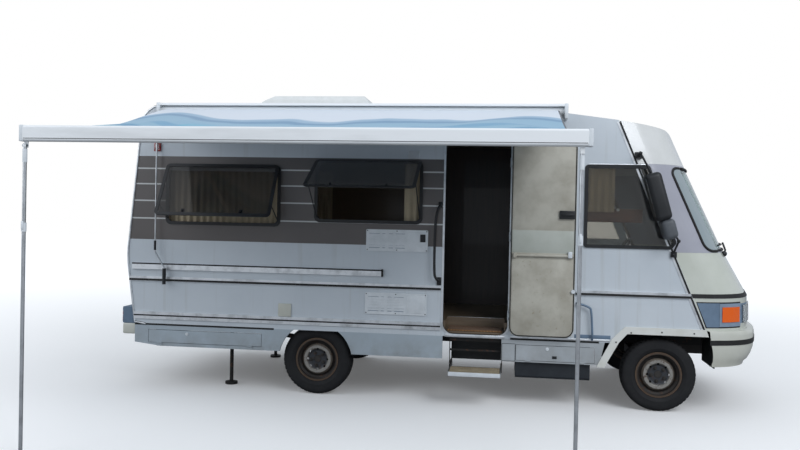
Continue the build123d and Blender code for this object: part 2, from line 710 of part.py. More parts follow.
# Skirts under the side walls, and their two flaps on the right
def skirt(side):
    low = REAR_FOOT_X
    outline = side_plate(((low, SKIRT_BOTTOM + 30), (low, WALL_BOTTOM), (ARCH_REAR_X - 60, WALL_BOTTOM),
                          (ARCH_REAR_X - 105, SKIRT_BOTTOM), (low + 260, SKIRT_BOTTOM)),
                         -HALF_WIDTH, -HALF_WIDTH + SKIRT_THICK)
    arch = Pos(-WHEELBASE, -HALF_WIDTH, TYRE_RADIUS) * Rot(90, 0, 0) * Cylinder(REAR_ARCH_RADIUS, 200)
    outline = outline - arch
    outline = outline - arch_cut()
    if side > 0:
        return mirrored(outline)
    outline = outline - box((DOOR_OPEN_X[0], DOOR_OPEN_X[1] - 50), (-FAR, 0), (0, WALL_BOTTOM))
    for node, x_low, x_high, z_low, z_high in FLAPS:
        outline = outline - box((x_low - FLAP_GAP, x_high + FLAP_GAP), (-FAR, 0),
                                (z_low - FLAP_GAP, z_high + FLAP_GAP))
    return outline


right_skirt = skirt(-1)
for node, x_low, x_high, z_low, z_high in FLAPS:
    flap = box((x_low, x_high), (-HALF_WIDTH, -HALF_WIDTH + FLAP_THICK), (z_low, z_high))
    save(node, flap)
    hinge_y = -HALF_WIDTH - FLAP_HINGE_RADIUS
    hinge_z = z_low - FLAP_HINGE_DROP
    for x in (x_low + FLAP_HINGE_INSET, x_high - FLAP_HINGE_INSET):
        knuckle = tube((x - FLAP_HINGE_HALF, hinge_y, hinge_z), (x + FLAP_HINGE_HALF, hinge_y, hinge_z),
                       FLAP_HINGE_RADIUS)
        leaf = box((x - FLAP_HINGE_HALF, x + FLAP_HINGE_HALF), (hinge_y, -HALF_WIDTH + 1),
                   (SKIRT_BOTTOM + 2, z_low - FLAP_GAP))
        right_skirt = right_skirt + knuckle + leaf
save("skirts", group(right_skirt, skirt(1)))

# Rubbing rails, sill rails and the trims over the front wheels
rails = []
middle_rear_x = REAR_FOOT_X - 60
sill_rear_x = REAR_FOOT_X - 10
right_rails = (
    (MIDDLE_RAIL, middle_rear_x, DOOR_OPEN_X[0] - 20),
    (UPPER_RAIL, REAR_FOOT_X - 30, -2480),
    (SILL_RAIL, sill_rear_x, DOOR_OPEN_X[0] - 20),
    (MIDDLE_RAIL, -745, 240),
)
left_rails = (
    (MIDDLE_RAIL, middle_rear_x, CAB_DOOR_REAR - 40),
    (SILL_RAIL, sill_rear_x, ARCH_REAR_X - 120),
)
for (z_low, z_high, proud), x_low, x_high in right_rails:
    rails.append(box((x_low, x_high), (-HALF_WIDTH - proud, -HALF_WIDTH), (z_low, z_high)))
for (z_low, z_high, proud), x_low, x_high in left_rails:
    rails.append(box((x_low, x_high), (HALF_WIDTH, HALF_WIDTH + proud), (z_low, z_high)))
trim_top = ARCH_TOP + ARCH_TRIM_WIDE
trim_foot = ARCH_TOP - 305
trim_outer = ((ARCH_REAR_X - 130, trim_foot), (ARCH_REAR_X, ARCH_TOP - 50), (ARCH_REAR_X + 110, trim_top),
              (ARCH_FRONT_X - 22, trim_top), (ARCH_FRONT_X, ARCH_TOP), (ARCH_REAR_X + 130, ARCH_TOP),
              (ARCH_REAR_X + 60, ARCH_TOP - 80), (ARCH_REAR_X - ARCH_TRIM_WIDE, trim_foot))
arch_trim = side_plate(trim_outer, -HALF_WIDTH - ARCH_TRIM_PROUD, -HALF_WIDTH)
save("side_trims", group(*rails, both(arch_trim)))

# Window frames and panes
frames = []
panes = []
for name, side, x_low, x_high, z_low, z_high, opened in WINDOWS:
    ring_outer = rounded_plate((x_low, x_high), (z_low, z_high), FRAME_CORNER,
                               -HALF_WIDTH - FRAME_PROUD, -HALF_WIDTH)
    hole_x = (x_low + FRAME_WIDTH, x_high - FRAME_WIDTH)
    hole_z = (z_low + FRAME_WIDTH, z_high - FRAME_WIDTH)
    ring_hole = rounded_plate(hole_x, hole_z, HOLE_CORNER, -FAR, 0)
    frame = ring_outer - ring_hole
    if opened:
        top = z_high - PANE_TOP_DROP
        hinge_y = -HALF_WIDTH - FRAME_PROUD - PANE_GAP
        pane = rounded_plate((x_low + PANE_INSET, x_high - PANE_INSET), (z_low + PANE_INSET, top),
                             FRAME_CORNER - PANE_INSET, hinge_y - PANE_THICK, hinge_y)
        hinge = Vector(0, hinge_y, top)
        pane = pane.moved(Location(-hinge)).rotate(Axis.X, -opened).moved(Location(hinge))
        strip = box((x_low + FRAME_CORNER, x_high - FRAME_CORNER),
                    (hinge_y + SEAT_GAP, -HALF_WIDTH - FRAME_PROUD), (top - FRAME_WIDTH / 2, top))
        frame = frame + strip
    else:
        pane = rounded_plate((hole_x[0] + SEAT_GAP, hole_x[1] - SEAT_GAP),
                             (hole_z[0] + SEAT_GAP, hole_z[1] - SEAT_GAP), HOLE_CORNER, *PANE_Y)
    frames.append(frame if side < 0 else mirrored(frame))
    panes.append(pane if side < 0 else mirrored(pane))
cab_ring = prism(cab_window_outline(0), (-HALF_WIDTH - FRAME_PROUD, -HALF_WIDTH))
cab_ring = cab_ring - cab_window_cut(-1, -FRAME_WIDTH)
cab_pane = prism(cab_window_outline(-FRAME_WIDTH - SEAT_GAP), PANE_Y)
frames.append(cab_ring)
panes.append(cab_pane)
save("window_frames", group(*frames))
rear_pane_y = (-REAR_WINDOW_HALF + SEAT_GAP, REAR_WINDOW_HALF - SEAT_GAP)
rear_pane_z = (REAR_WINDOW_LOW + SEAT_GAP, REAR_WINDOW_HIGH - SEAT_GAP)
rear_pane = ring & box((-6000, -4500), rear_pane_y, rear_pane_z)
rear_pane = rear_pane & Pos(-WALL / 2, 0, 0) * prism(INNER_PROFILE, (-FAR, FAR))
panes.append(rear_pane)
save("window_panes", group(*panes))

# Fridge vents on the right wall
vents = []
vent_face_y = -HALF_WIDTH - VENT_PLATE_THICK
slot_y = (vent_face_y - 1, vent_face_y + SLOT_DEPTH)
for z_low, z_high in VENT_PLATES:
    plate = rounded_plate(VENT_PLATE_X, (z_low, z_high), 12, vent_face_y, -HALF_WIDTH)
    for column in range(SLOT_COLUMNS):
        for row in range(SLOT_ROWS):
            x = VENT_PLATE_X[0] + 28 + column * SLOT_PITCH[0]
            z = z_low + 28 + row * SLOT_PITCH[1]
            plate = plate - box((x, x + SLOT_LENGTH), slot_y, (z, z + SLOT_HEIGHT))
    vents.append(plate)
save("fridge_vents", group(*vents))

# Entry door in its open place, hinge line upright beside the doorway
door_x = (entry_hinge.X + DOOR_HINGE_EDGE, entry_hinge.X + DOOR_HINGE_EDGE + DOOR_WIDTH)
door_y = (entry_hinge.Y - DOOR_HINGE_OUT - DOOR_THICK, entry_hinge.Y - DOOR_HINGE_OUT)
door = rounded_plate(door_x, (DOOR_LOW, DOOR_HIGH), DOOR_CORNER, *door_y)
bin_rail = box((door_x[0] + 40, door_x[1] - 15), (door_y[0] - 26, door_y[0]), (1335, 1385))
handle = box((door_x[1] - 150, door_x[1] - 30), (door_y[0] - 22, door_y[0]), (1635, 1700))
door = door + bin_rail + handle
for z in entry_hinge_z:
    leaf_x = (entry_hinge.X + DOOR_LIP + SEAT_GAP, door_x[0] + 30)
    door = door + barrel(entry_hinge.X, entry_hinge.Y, z - BARREL_HALF, z + BARREL_HALF,
                         leaf_x, (door_y[1] - 1, entry_hinge.Y))
save("entry_door", door)

# Driver's door on the left, with its window
pane_rear_x = CAB_DOOR_REAR + CAB_PANE_EDGE
door_window = [(pane_rear_x, CAB_PANE_Z[0])]
door_window += [(seam_x(z) - CAB_PANE_FRONT, z) for z in CAB_PANE_Z]
door_window += [(pane_rear_x, CAB_PANE_Z[1])]
window_face = make_face(Polyline(*[(x, 0, z) for x, z in door_window], close=True))
cab_door = prism(cab_door_face(0), (HALF_WIDTH - WALL, HALF_WIDTH)) - prism(window_face, (0, FAR))
cab_door = cab_door + barrel(cab_hinge.X, cab_hinge.Y, CAB_HINGE_Z - BARREL_HALF, CAB_HINGE_Z + BARREL_HALF,
                             (cab_hinge.X - 60, cab_hinge.X), (HALF_WIDTH, cab_hinge.Y))
save("driver_door", cab_door)
pane_face = offset(window_face, -SEAT_GAP, kind=Kind.INTERSECTION)
save("driver_door_pane", prism(pane_face, (-PANE_Y[1], -PANE_Y[0])))

# Mirrors on the windscreen pillars
def mirror_block(place, size, corner):
    """A mirror's housing, leaning with the windscreen pillar."""
    block = Pos(place[0], MIRROR_Y, place[1]) * Rot(0, MIRROR_TILT, 0) * Box(*size)
    return chamfer(block.edges(), corner)


mirror_head = mirror_block(MIRROR_HEAD, MIRROR_HEAD_SIZE, 24)
small_head = mirror_block(SMALL_HEAD, SMALL_HEAD_SIZE, 20)
bar_y = -HALF_WIDTH - MIRROR_BAR_PROUD
high_knee = (-230, MIRROR_Y, 2275)
low_knee = (110, MIRROR_Y + 10, 1520)
mirror_arm = tube((-230, bar_y, 2262), high_knee, MIRROR_BAR)
mirror_arm = mirror_arm + tube(high_knee, (-110, MIRROR_Y, 2060), MIRROR_BAR)
lower_arm = tube((10, MIRROR_Y, 1690), low_knee, MIRROR_BAR) + tube(low_knee, (80, bar_y, 1400), MIRROR_BAR)
foot_y = (-HALF_WIDTH - MIRROR_FOOT_PROUD, -HALF_WIDTH + MIRROR_FOOT_DEEP)
foot_high = box((-260, -200), foot_y, (2235, 2290))
foot_low = box((62, 112), foot_y, (1375, 1425))
spine = tube((-105, MIRROR_Y, 2060), (60, MIRROR_Y, 1560), MIRROR_BAR)
mirror_right = mirror_head + small_head + mirror_arm + lower_arm + foot_high + foot_low + spine
mirror_right = mirror_right - front_solid(0) - (OUTER_BODY & BEHIND)
save("mirrors", both(mirror_right))

# Chassis: two long rails with cross members, reaching the axles, step and tank
rail_inner, rail_outer = RAIL_Y - RAIL_WIDTH / 2, RAIL_Y + RAIL_WIDTH / 2
chassis = box((RAIL_REAR_X, RAIL_FRONT_X), (rail_inner, rail_outer), (RAIL_LOW, FLOOR_UNDER))
chassis = chassis + mirrored(chassis)
for x in CROSS_MEMBERS:
    chassis = chassis + box((x - 30, x + 30), (-RAIL_Y, RAIL_Y), (RAIL_LOW + 20, FLOOR_UNDER - 20))
eye_y = (-RAIL_Y - TOW_EYE_THICK / 2, -RAIL_Y + TOW_EYE_THICK / 2)
eye_plate = box((TOW_EYE_X - 2 * TOW_EYE_RADIUS, RAIL_REAR_X + 80), eye_y, (TOW_EYE_Z - 30, RAIL_LOW + 1))
eye_plate = eye_plate - box((TAIL_X, RAIL_REAR_X), (-FAR, 0), (REAR_BUMPER_LOW - 1, WALL_BOTTOM))
eye_hole = Pos(TOW_EYE_X, -RAIL_Y, TOW_EYE_Z) * Rot(90, 0, 0) * Cylinder(TOW_EYE_RADIUS, TOW_EYE_THICK + 2)
chassis = chassis + (eye_plate - eye_hole)
save("chassis_frame", chassis)

# Outriggers from the rails to the side walls, the rear pair with the lugs of the corner steadies
outriggers = []
lug_inner = STEADY_PIVOT_WIDTH / 2 + SEAT_GAP
outrigger_low = FLOOR_UNDER - OUTRIGGER_DEPTH
for x in OUTRIGGERS:
    arm_x = (x - OUTRIGGER_HALF, x + OUTRIGGER_HALF)
    arm = box(arm_x, (rail_outer, OUTRIGGER_Y), (outrigger_low, FLOOR_UNDER))
    if x == STEADY_X:
        for lug_y in (STEADY_Y - lug_inner - STEADY_LUG, STEADY_Y + lug_inner):
            arm = arm + box((x - STEADY_LUG_HALF, x + STEADY_LUG_HALF), (lug_y, lug_y + STEADY_LUG),
                            (STEADY_PIVOT_Z - STEADY_LUG_HALF, outrigger_low + STEADY_LUG))
    outriggers.append(both(arm))
save("outriggers", group(*outriggers))

# Rear axle tube with its springs, front cross member with lower arms
rear_tube = tube((-WHEELBASE, -WHEEL_Y + 90, TYRE_RADIUS), (-WHEELBASE, WHEEL_Y - 90, TYRE_RADIUS),
                 AXLE_TUBE)
half_spring = (
    # from the rear end forward to the axle, upper side, then the lower side at the axle
    (-SPRING_REACH, RAIL_LOW - 60), (-SPRING_REACH, RAIL_LOW), (-SPRING_REACH + SPRING_END, RAIL_LOW),
    (-SPRING_REACH + SPRING_END, RAIL_LOW - 40), (0, TYRE_RADIUS + 90),
)
spring_outline = [(-WHEELBASE + x, z) for x, z in half_spring]
spring_outline += [(-WHEELBASE - x, z) for x, z in reversed(half_spring[:4])]
spring_outline.append((-WHEELBASE, TYRE_RADIUS + 30))
for side in (-1, 1):
    y = side * RAIL_Y
    spring = side_plate(spring_outline, y - SPRING_HALF, y + SPRING_HALF)
    rear_tube = rear_tube + spring
    stub = tube((-WHEELBASE, side * (WHEEL_Y - 95), TYRE_RADIUS),
                (-WHEELBASE, side * (WHEEL_Y + STUB_REACH), TYRE_RADIUS), STUB_RADIUS)
    flange = tube((-WHEELBASE, side * (WHEEL_Y - 120), TYRE_RADIUS),
                  (-WHEELBASE, side * (WHEEL_Y - 90), TYRE_RADIUS), FLANGE_RADIUS)
    rear_tube = rear_tube + stub + flange
save("rear_axle", rear_tube)
KINGPIN_Y = WHEEL_Y - KINGPIN_OFFSET
cross = box((-90, 90), (-RAIL_Y - 40, RAIL_Y + 40), (TYRE_RADIUS - 25, TYRE_RADIUS + 55))
for side in (-1, 1):
    post = sorted((side * (RAIL_Y - 30), side * (RAIL_Y + 30)))
    arm_y = sorted((side * RAIL_Y, side * KINGPIN_Y))
    tie_y = sorted((side * rail_outer, side * KINGPIN_Y))
    eye = Pos(0, side * KINGPIN_Y, LOWER_EYE_Z) * Cylinder(KINGPIN_RADIUS + 1, 28)
    cross = cross + box((-60, 60), post, (TYRE_RADIUS + 15, RAIL_LOW)) + eye
    cross = cross + box((-40, 40), post, (TYRE_RADIUS - 105, TYRE_RADIUS - 5))
    cross = cross + box((-28, 28), arm_y, (LOWER_EYE_Z - 12, LOWER_EYE_Z + 12))
    cross = cross + box((-30, 30), tie_y, (UPPER_TIE_Z, FLOOR_UNDER))
save("front_axle", cross)
post_z = (LOWER_EYE_Z + 14 + SEAT_GAP, UPPER_TIE_Z - SEAT_GAP)
for side, word in ((-1, "right"), (1, "left")):
    body = Pos(0, side * KINGPIN_Y, sum(post_z) / 2) * Cylinder(KINGPIN_RADIUS, post_z[1] - post_z[0])
    stub = tube((0, side * KINGPIN_Y, TYRE_RADIUS), (0, side * (WHEEL_Y + STUB_REACH), TYRE_RADIUS),
                STUB_RADIUS)
    disc = tube((0, side * (KINGPIN_Y + 28), TYRE_RADIUS), (0, side * (KINGPIN_Y + 42), TYRE_RADIUS),
                BRAKE_DISC_RADIUS)
    save("knuckle_" + word, body + stub + disc)


# Wheels: pressed steel rims and tyres, flat-step rings about the axle
RIM_OUTLINE = (
    # out from the wheel's middle, radius: flanges and well outside, the well's wall inside
    (BEAD_HALF + RIM_WALL, RIM_FLANGE), (BEAD_HALF, RIM_FLANGE), (BEAD_HALF, RIM_RADIUS),
    (46, RIM_RADIUS), (38, RIM_RADIUS - 22), (-40, RIM_RADIUS - 22), (-50, RIM_RADIUS),
    (-BEAD_HALF, RIM_RADIUS), (-BEAD_HALF, RIM_FLANGE), (-BEAD_HALF - RIM_WALL, RIM_FLANGE),
    (-BEAD_HALF - RIM_WALL, RIM_RADIUS - RIM_WALL), (-46, RIM_RADIUS - RIM_WALL), (-36, RIM_RADIUS - 29),
    (16, RIM_RADIUS - 29),
    # the disc, back and front, with its raised ring round the hub face
    (22, 146), (48, 128), (50, 112), (HUB_BACK, 84), (HUB_BACK, HUB_BORE / 2),
    (HUB_FACE, HUB_BORE / 2), (HUB_FACE, 78), (62, 104), (62, 126), (34, 150), (30, RIM_RADIUS - 29),
    (50, RIM_RADIUS - RIM_WALL), (BEAD_HALF + RIM_WALL, RIM_RADIUS - RIM_WALL),
)
TYRE_HALF_OUTLINE = (
    # out from the wheel's middle, radius: bead, sidewall, shoulder, tread
    (BEAD_HALF, RIM_RADIUS), (BEAD_HALF, RIM_FLANGE), (TYRE_WIDTH / 2 + 2, RIM_FLANGE + 34),
    (TYRE_WIDTH / 2, TYRE_RADIUS - 34), (TYRE_WIDTH / 2 - 16, TYRE_RADIUS - 6),
    (TYRE_WIDTH / 2 - 34, TYRE_RADIUS),
)
rim_wheel = stepped_ring(RIM_OUTLINE, WHEEL_SIDES)
rim_wheel = rim_wheel - Rot(0, 90, 0) * Cylinder(HUB_BORE, 4 * HUB_FACE)
for index in range(VENT_HOLES):
    vent = Rot(360 / VENT_HOLES * index, 0, 0) * Pos(HUB_FACE, 0, VENT_CIRCLE) * Rot(0, 90, 0)
    rim_wheel = rim_wheel - extrude(vent * RegularPolygon(VENT_RADIUS, VENT_SIDES), HUB_FACE, both=True)
tyre_back = tuple((-y, r) for y, r in reversed(TYRE_HALF_OUTLINE))
tyre_ring = stepped_ring(TYRE_HALF_OUTLINE + tyre_back, WHEEL_SIDES)

for x, end in ((0.0, "front"), (-WHEELBASE, "rear")):
    for side, word in ((-1, "right"), (1, "left")):
        place = Pos(x, side * WHEEL_Y, TYRE_RADIUS) * Rot(0, 0, 90 * side)
        save("wheel_" + end + "_" + word, place * rim_wheel)
        save("tyre_" + end + "_" + word, place * tyre_ring)

# Engine and gearbox as one block, on the chassis rails
save("engine_block", box(ENGINE_X, (-rail_inner, rail_inner), ENGINE_Z))

# Waste tank behind the right skirt, fuel tank on the left
tank_top = outrigger_low
tank = box(WASTE_TANK_X, WASTE_TANK_Y, (WASTE_TANK_LOW, tank_top))
tank = fillet(tank.edges().filter_by(Axis.X), 24)
fuel = box(FUEL_TANK_X, FUEL_TANK_Y, (FUEL_TANK_LOW, tank_top))
save("tanks", group(tank, fuel))

# Pull-out step: fixed side plates and a sliding tread
guide_y = (-OUTRIGGER_Y, -OUTRIGGER_Y + STEP_GUIDE_LENGTH)
guide_window_top = WELL_Z[0] - 70
guides = []
for x_edge in (STEP_REAR_X - SEAT_GAP - STEP_GUIDE, STEP_FRONT_X + SEAT_GAP):
    x_plate = (x_edge, x_edge + STEP_GUIDE)
    plate = box(x_plate, guide_y, (STEP_LOW - 8, WELL_Z[0]))
    window = box(x_plate, (guide_y[0] + 30, guide_y[1] - 60), (STEP_LOW + STEP_THICK + 30, guide_window_top))
    guides.append(plate - window)
bar_x = (STEP_REAR_X - STEP_GUIDE, STEP_FRONT_X + STEP_GUIDE)
upper_bar = box(bar_x, (guide_y[0], guide_y[0] + 30), (guide_window_top, WELL_Z[0] - 10))
middle_bar_z = (STEP_BAR_Z - STEP_BAR / 2, STEP_BAR_Z + STEP_BAR / 2)
middle_bar = box(bar_x, (guide_y[0] + 6, guide_y[0] + 24), middle_bar_z)
save("step_frame", guides[0] + guides[1] + group(upper_bar, middle_bar))
step_z = (STEP_LOW, STEP_LOW + STEP_THICK)
step_y = (-HALF_WIDTH - STEP_OUT, -HALF_WIDTH - STEP_OUT + STEP_TREAD)
step = box((STEP_REAR_X + STEP_PLATE_INSET, STEP_FRONT_X - STEP_PLATE_INSET), step_y, step_z)
for x_edge in (STEP_REAR_X, STEP_FRONT_X - STEP_RUNNER):
    step = step + box((x_edge, x_edge + STEP_RUNNER), (step_y[0] + 60, step_y[1] + 250), step_z)
save("step_tread", step)

# Roof hatch: frame on the roof and a lid hinged at the front
hatch_frame = box(hatch_x, (-HATCH_HALF, HATCH_HALF), (ROOF_TOP, ROOF_TOP + HATCH_BASE)) - hatch_hole
lid_low = ROOF_TOP + HATCH_BASE + SEAT_GAP
lid_x = (hatch_x[0] + HATCH_LID_INSET, hatch_x[1] - HATCH_LID_INSET)
lid_half = HATCH_HALF - HATCH_LID_INSET
lid_break = HATCH_TOP - HATCH_TAPER_HEIGHT
lid_outline = ((lid_x[0], lid_low), (lid_x[0], lid_break), (lid_x[0] + HATCH_TAPER_REAR, HATCH_TOP),
               (lid_x[1] - HATCH_TAPER_FRONT, HATCH_TOP), (lid_x[1], lid_break), (lid_x[1], lid_low))
lid = side_plate(lid_outline, -lid_half, lid_half)
lid = chamfer(lid.faces().sort_by(Axis.Z)[-1].edges().filter_by(Axis.X), 50)
lid = lid - box((lid_x[0] + HATCH_LID_WALL, lid_x[1] - HATCH_LID_WALL),
                (-lid_half + HATCH_LID_WALL, lid_half - HATCH_LID_WALL), (lid_low - 1, HATCH_TOP - 62))
pin_z = ROOF_TOP + HATCH_BASE + HATCH_PIN_RISE
leaf_half = HATCH_PIN_RADIUS - 1
for side in (-1, 1):
    for y_mid, on_lid in ((HATCH_KNUCKLE_Y, False), (HATCH_KNUCKLE_Y + HATCH_KNUCKLE + SEAT_GAP, True)):
        y = (side * y_mid - HATCH_KNUCKLE / 2, side * y_mid + HATCH_KNUCKLE / 2)
        knuckle = tube((HATCH_PIN_X, y[0], pin_z), (HATCH_PIN_X, y[1], pin_z), HATCH_PIN_RADIUS)
        if on_lid:
            lid = lid + knuckle + box((lid_x[1] - 1, HATCH_PIN_X), y, (pin_z - leaf_half, pin_z + leaf_half))
        else:
            seat_x = (HATCH_PIN_X - leaf_half, HATCH_PIN_X + leaf_half)
            seat = box(seat_x, y, (ROOF_TOP + HATCH_BASE - 1, pin_z))
            hatch_frame = hatch_frame + knuckle + seat
save("hatch_frame", hatch_frame)
save("hatch_lid", lid)

# Corner steadies at the rear, let down to the ground
for side, word in ((-1, "right"), (1, "left")):
    y = side * STEADY_Y
    pivot = Pos(STEADY_X, y, STEADY_PIVOT_Z) * Rot(90, 0, 0) * Cylinder(STEADY_EYE, STEADY_PIVOT_WIDTH)
    leg = tube((STEADY_X, y, STEADY_PIVOT_Z), (STEADY_X, y, STEADY_FOOT_THICK), STEADY_LEG)
    foot = Pos(STEADY_X, y, STEADY_FOOT_THICK / 2) * Cylinder(STEADY_FOOT, STEADY_FOOT_THICK)
    save("steady_" + word, pivot + leg + foot)

# Cab and living space: seats, dashboard, furniture, curtains
seats = []
for side in (-1, 1):
    y = side * SEAT_Y
    cushion = box((-760, -270), (y - SEAT_HALF, y + SEAT_HALF), (SEAT_BASE_TOP - 5, SEAT_TOP))
    back = Pos(-800, y, SEAT_TOP + 350) * Rot(0, BACKREST_LEAN, 0) * Box(130, 2 * SEAT_HALF - 10, 780)
    base = box((-700, -350), (y - SEAT_HALF + 55, y + SEAT_HALF - 55), (FLOOR_TOP, SEAT_BASE_TOP))
    seats.append(fillet(cushion.edges().filter_by(Axis.Y), 30) + back + base)
save("seats", group(*seats))
dash = side_plate(DASH_OUTLINE, -DASH_HALF, DASH_HALF)
shelf_inset = CAP_WALL + SEAT_GAP
shelf_profile = offset(PROFILE, -shelf_inset, kind=Kind.INTERSECTION)
shelf = dash & front_solid(shelf_inset) & prism(shelf_profile, (-FAR, FAR))
dash = (dash & behind_seam(0)) + shelf
cheek = box((-60, -20), (DASH_HALF - 220, DASH_HALF - 80), (FLOOR_TOP, DASH_OUTLINE[0][1] + 10))
column_top = (COLUMN_TOP[0], SEAT_Y, COLUMN_TOP[1])
column_foot = (COLUMN_FOOT[0], SEAT_Y, COLUMN_FOOT[1])
wheel_plane = Plane(origin=column_top, z_dir=(-0.85, 0, 0.53))
grip_turns = [2 * pi * index / GRIP_SIDES for index in range(GRIP_SIDES)]
grip = [(GRIP_RADIUS * cos(turn), STEERING_RADIUS + GRIP_RADIUS * sin(turn)) for turn in grip_turns]
steering = Location(wheel_plane) * Rot(0, 90, 0) * stepped_ring(grip, STEERING_SIDES)
column = tube(column_top, column_foot, COLUMN_RADIUS)
spoke = Location(wheel_plane) * Box(30, 2 * STEERING_RADIUS, 12)
save("dashboard", dash + cheek + mirrored(cheek) + steering + column + spoke)
furniture = []
for side, x_low, x_high, depth, top in FURNITURE:
    unit = box((x_low, x_high), (-INSIDE, -INSIDE + depth), (FLOOR_TOP, top))
    furniture.append(unit if side < 0 else mirrored(unit))
save("furniture", group(*furniture))
curtains = []
curtain_y = (-INSIDE, -INSIDE + CURTAIN_THICK)
for name, side, x_low, x_high, z_low, z_high, opened in WINDOWS:
    drape = box((x_low - 40, x_high + 40), curtain_y, (z_low - 60, z_high + 70))
    if name == "right_middle":
        drape = box((x_high - 180, x_high + 60), curtain_y, (z_low - 15, z_high + 70))
    curtains.append(drape if side < 0 else mirrored(drape))
curtains.append(box((-700, -420), curtain_y, (1760, 2230)))
save("curtains", group(*curtains))

# Awning case with its roller, the crank hanging at its rear end
case_y = (-HALF_WIDTH - CASE_DEPTH, -HALF_WIDTH)
case = box((CASE_REAR_X, CASE_FRONT_X), case_y, (CASE_LOW, CASE_HIGH))
case = fillet(case.edges().filter_by(Axis.X).group_by(Axis.Y)[0], 14)
hollow = box((CASE_REAR_X + 20, CASE_FRONT_X - 20), (case_y[0] - 20, -HALF_WIDTH - CASE_SHEET),
             (CASE_LOW - 1, CASE_HIGH - 22))
hollow = hollow - box((CASE_REAR_X, CASE_FRONT_X), (case_y[0] + CASE_SILL, case_y[1]),
                      (CASE_LOW - 1, CASE_LOW + CASE_SHEET))
roller_y = -HALF_WIDTH - CASE_SHEET - ROLLER_RADIUS - 4
roller_z = CASE_HIGH - 24 - ROLLER_RADIUS
roller = tube((CASE_REAR_X + 19, roller_y, roller_z), (CASE_FRONT_X - 19, roller_y, roller_z), ROLLER_RADIUS)
case = case - hollow + roller

# Awning arms in their tilted plane: shoulders, elbows and wrists
out = Vector(0, -ARM_OUT, -TOP_DROP).normalized()
normal = Vector(1, 0, 0).cross(out)
shoulders = (CASE_REAR_X + SHOULDER_INSET, CASE_FRONT_X - SHOULDER_INSET)


def pivot_plane(point, height):
    """The tilted plane of the arms, at a height above the pivot point."""
    return Plane(origin=point - normal * height, x_dir=(1, 0, 0), z_dir=-normal)


def pin(point, low, high):
    return extrude(pivot_plane(point, low) * Circle(PIN_RADIUS), high - low)


def lug(point, x_half, y, z):
    """A flat lug in the arms' plane: y inboard of the pivot, z across the plane."""
    sketch = Pos(0, (y[0] + y[1]) / 2) * Rectangle(2 * x_half, y[1] - y[0])
    return extrude(pivot_plane(point, z[0]) * sketch, z[1] - z[0])


def arm_bar(start, end, low, high, holes):
    """A flat arm between two pivots, with round ends and its pin holes, in the tilted plane."""
    length = (end - start).length
    plane = Plane(origin=start - normal * low, x_dir=(end - start).normalized(), z_dir=-normal)
    bar = Pos(length / 2, 0) * SlotCenterToCenter(length, ARM_WIDTH)
    for along in holes:
        bar = bar - Pos(along * length, 0) * Circle(PIN_RADIUS + PIN_CLEARANCE)
    return extrude(plane * bar, high - low)


half_arm = ARM_HEIGHT / 2
lead_y = (LEAD_FRONT_Y, LEAD_FRONT_Y + LEAD_DEPTH)
lead = box((CASE_REAR_X - LEAD_LAP, CASE_FRONT_X + LEAD_LAP), lead_y, (LEAD_Z, LEAD_Z + LEAD_HEIGHT))
lead = fillet(lead.edges().filter_by(Axis.X).group_by(Axis.Y)[0], 16)
arm_points = []
for shoulder_x, inward, word in ((shoulders[0], 1, "rear"), (shoulders[1], -1, "front")):
    shoulder = Vector(shoulder_x, SHOULDER_Y, SHOULDER_Z)
    elbow = shoulder + Vector(inward * ARM_LENGTH * cos(radians(ARM_ANGLE)), 0, 0) + out * (ARM_REACH / 2)
    wrist = shoulder + out * ARM_REACH
    arm_points.append((word, shoulder, elbow, wrist))
    case = case + lug(shoulder, 30, (-18, SHOULDER_OUT - 3), (SEAT_GAP - 1, 8)) + pin(shoulder, -half_arm, 8)
    lead = lead + lug(wrist, 24, (-WRIST_GAP - 14, 14), (-8, 1 - SEAT_GAP)) + pin(wrist, -8, half_arm)
    upper = arm_bar(shoulder, elbow, -half_arm, -1, (0,)) + pin(elbow, -half_arm, half_arm)
    save("awning_upper_arm_" + word, upper)
    save("awning_fore_arm_" + word, arm_bar(elbow, wrist, 1, half_arm, (0, 1)))
save("awning_case", case)

# Lead rail and its two folding legs, set side by side so that they fold past each other
LEG_MIDDLE_Y = LEAD_FRONT_Y + LEAD_DEPTH / 2
LEG_PIVOT_Z = LEAD_Z - LEG_PIVOT_DROP
for x, side, word in LEGS:
    y = LEG_MIDDLE_Y + side * LEG_STAGGER
    pivot = (x, y, LEG_PIVOT_Z)
    eye_half = LEG_RADIUS - 1
    foot = box((x - LEG_FOOT, x + LEG_FOOT), (y - 14, y + 14), (0, LEG_FOOT_THICK))
    leg = tube(pivot, (x, y, LEG_FOOT_THICK - 4), LEG_RADIUS) + foot
    leg = leg + tube((x, y - eye_half, LEG_PIVOT_Z), (x, y + eye_half, LEG_PIVOT_Z), LEG_RADIUS + 2)
    leg = leg - tube((x, y - 40, LEG_PIVOT_Z), (x, y + 40, LEG_PIVOT_Z), LEG_PIN + PIN_CLEARANCE)
    flat_y = sorted((y - side * eye_half, y - side * 40))
    leg = leg - box((x - 40, x + 40), flat_y, (LEG_PIVOT_Z - LEG_FLAT, LEAD_Z))
    save("awning_leg_" + word, leg)
    cheek_y = sorted((y - side * (eye_half + SEAT_GAP), y - side * (eye_half + 8)))
    lead = lead + box((x - 14, x + 14), cheek_y, (LEG_PIVOT_Z - 14, LEAD_Z + 1))
    lead = lead + tube((x, y + side * eye_half, LEG_PIVOT_Z), (x, cheek_y[0], LEG_PIVOT_Z), LEG_PIN)
save("awning_lead_rail", lead)

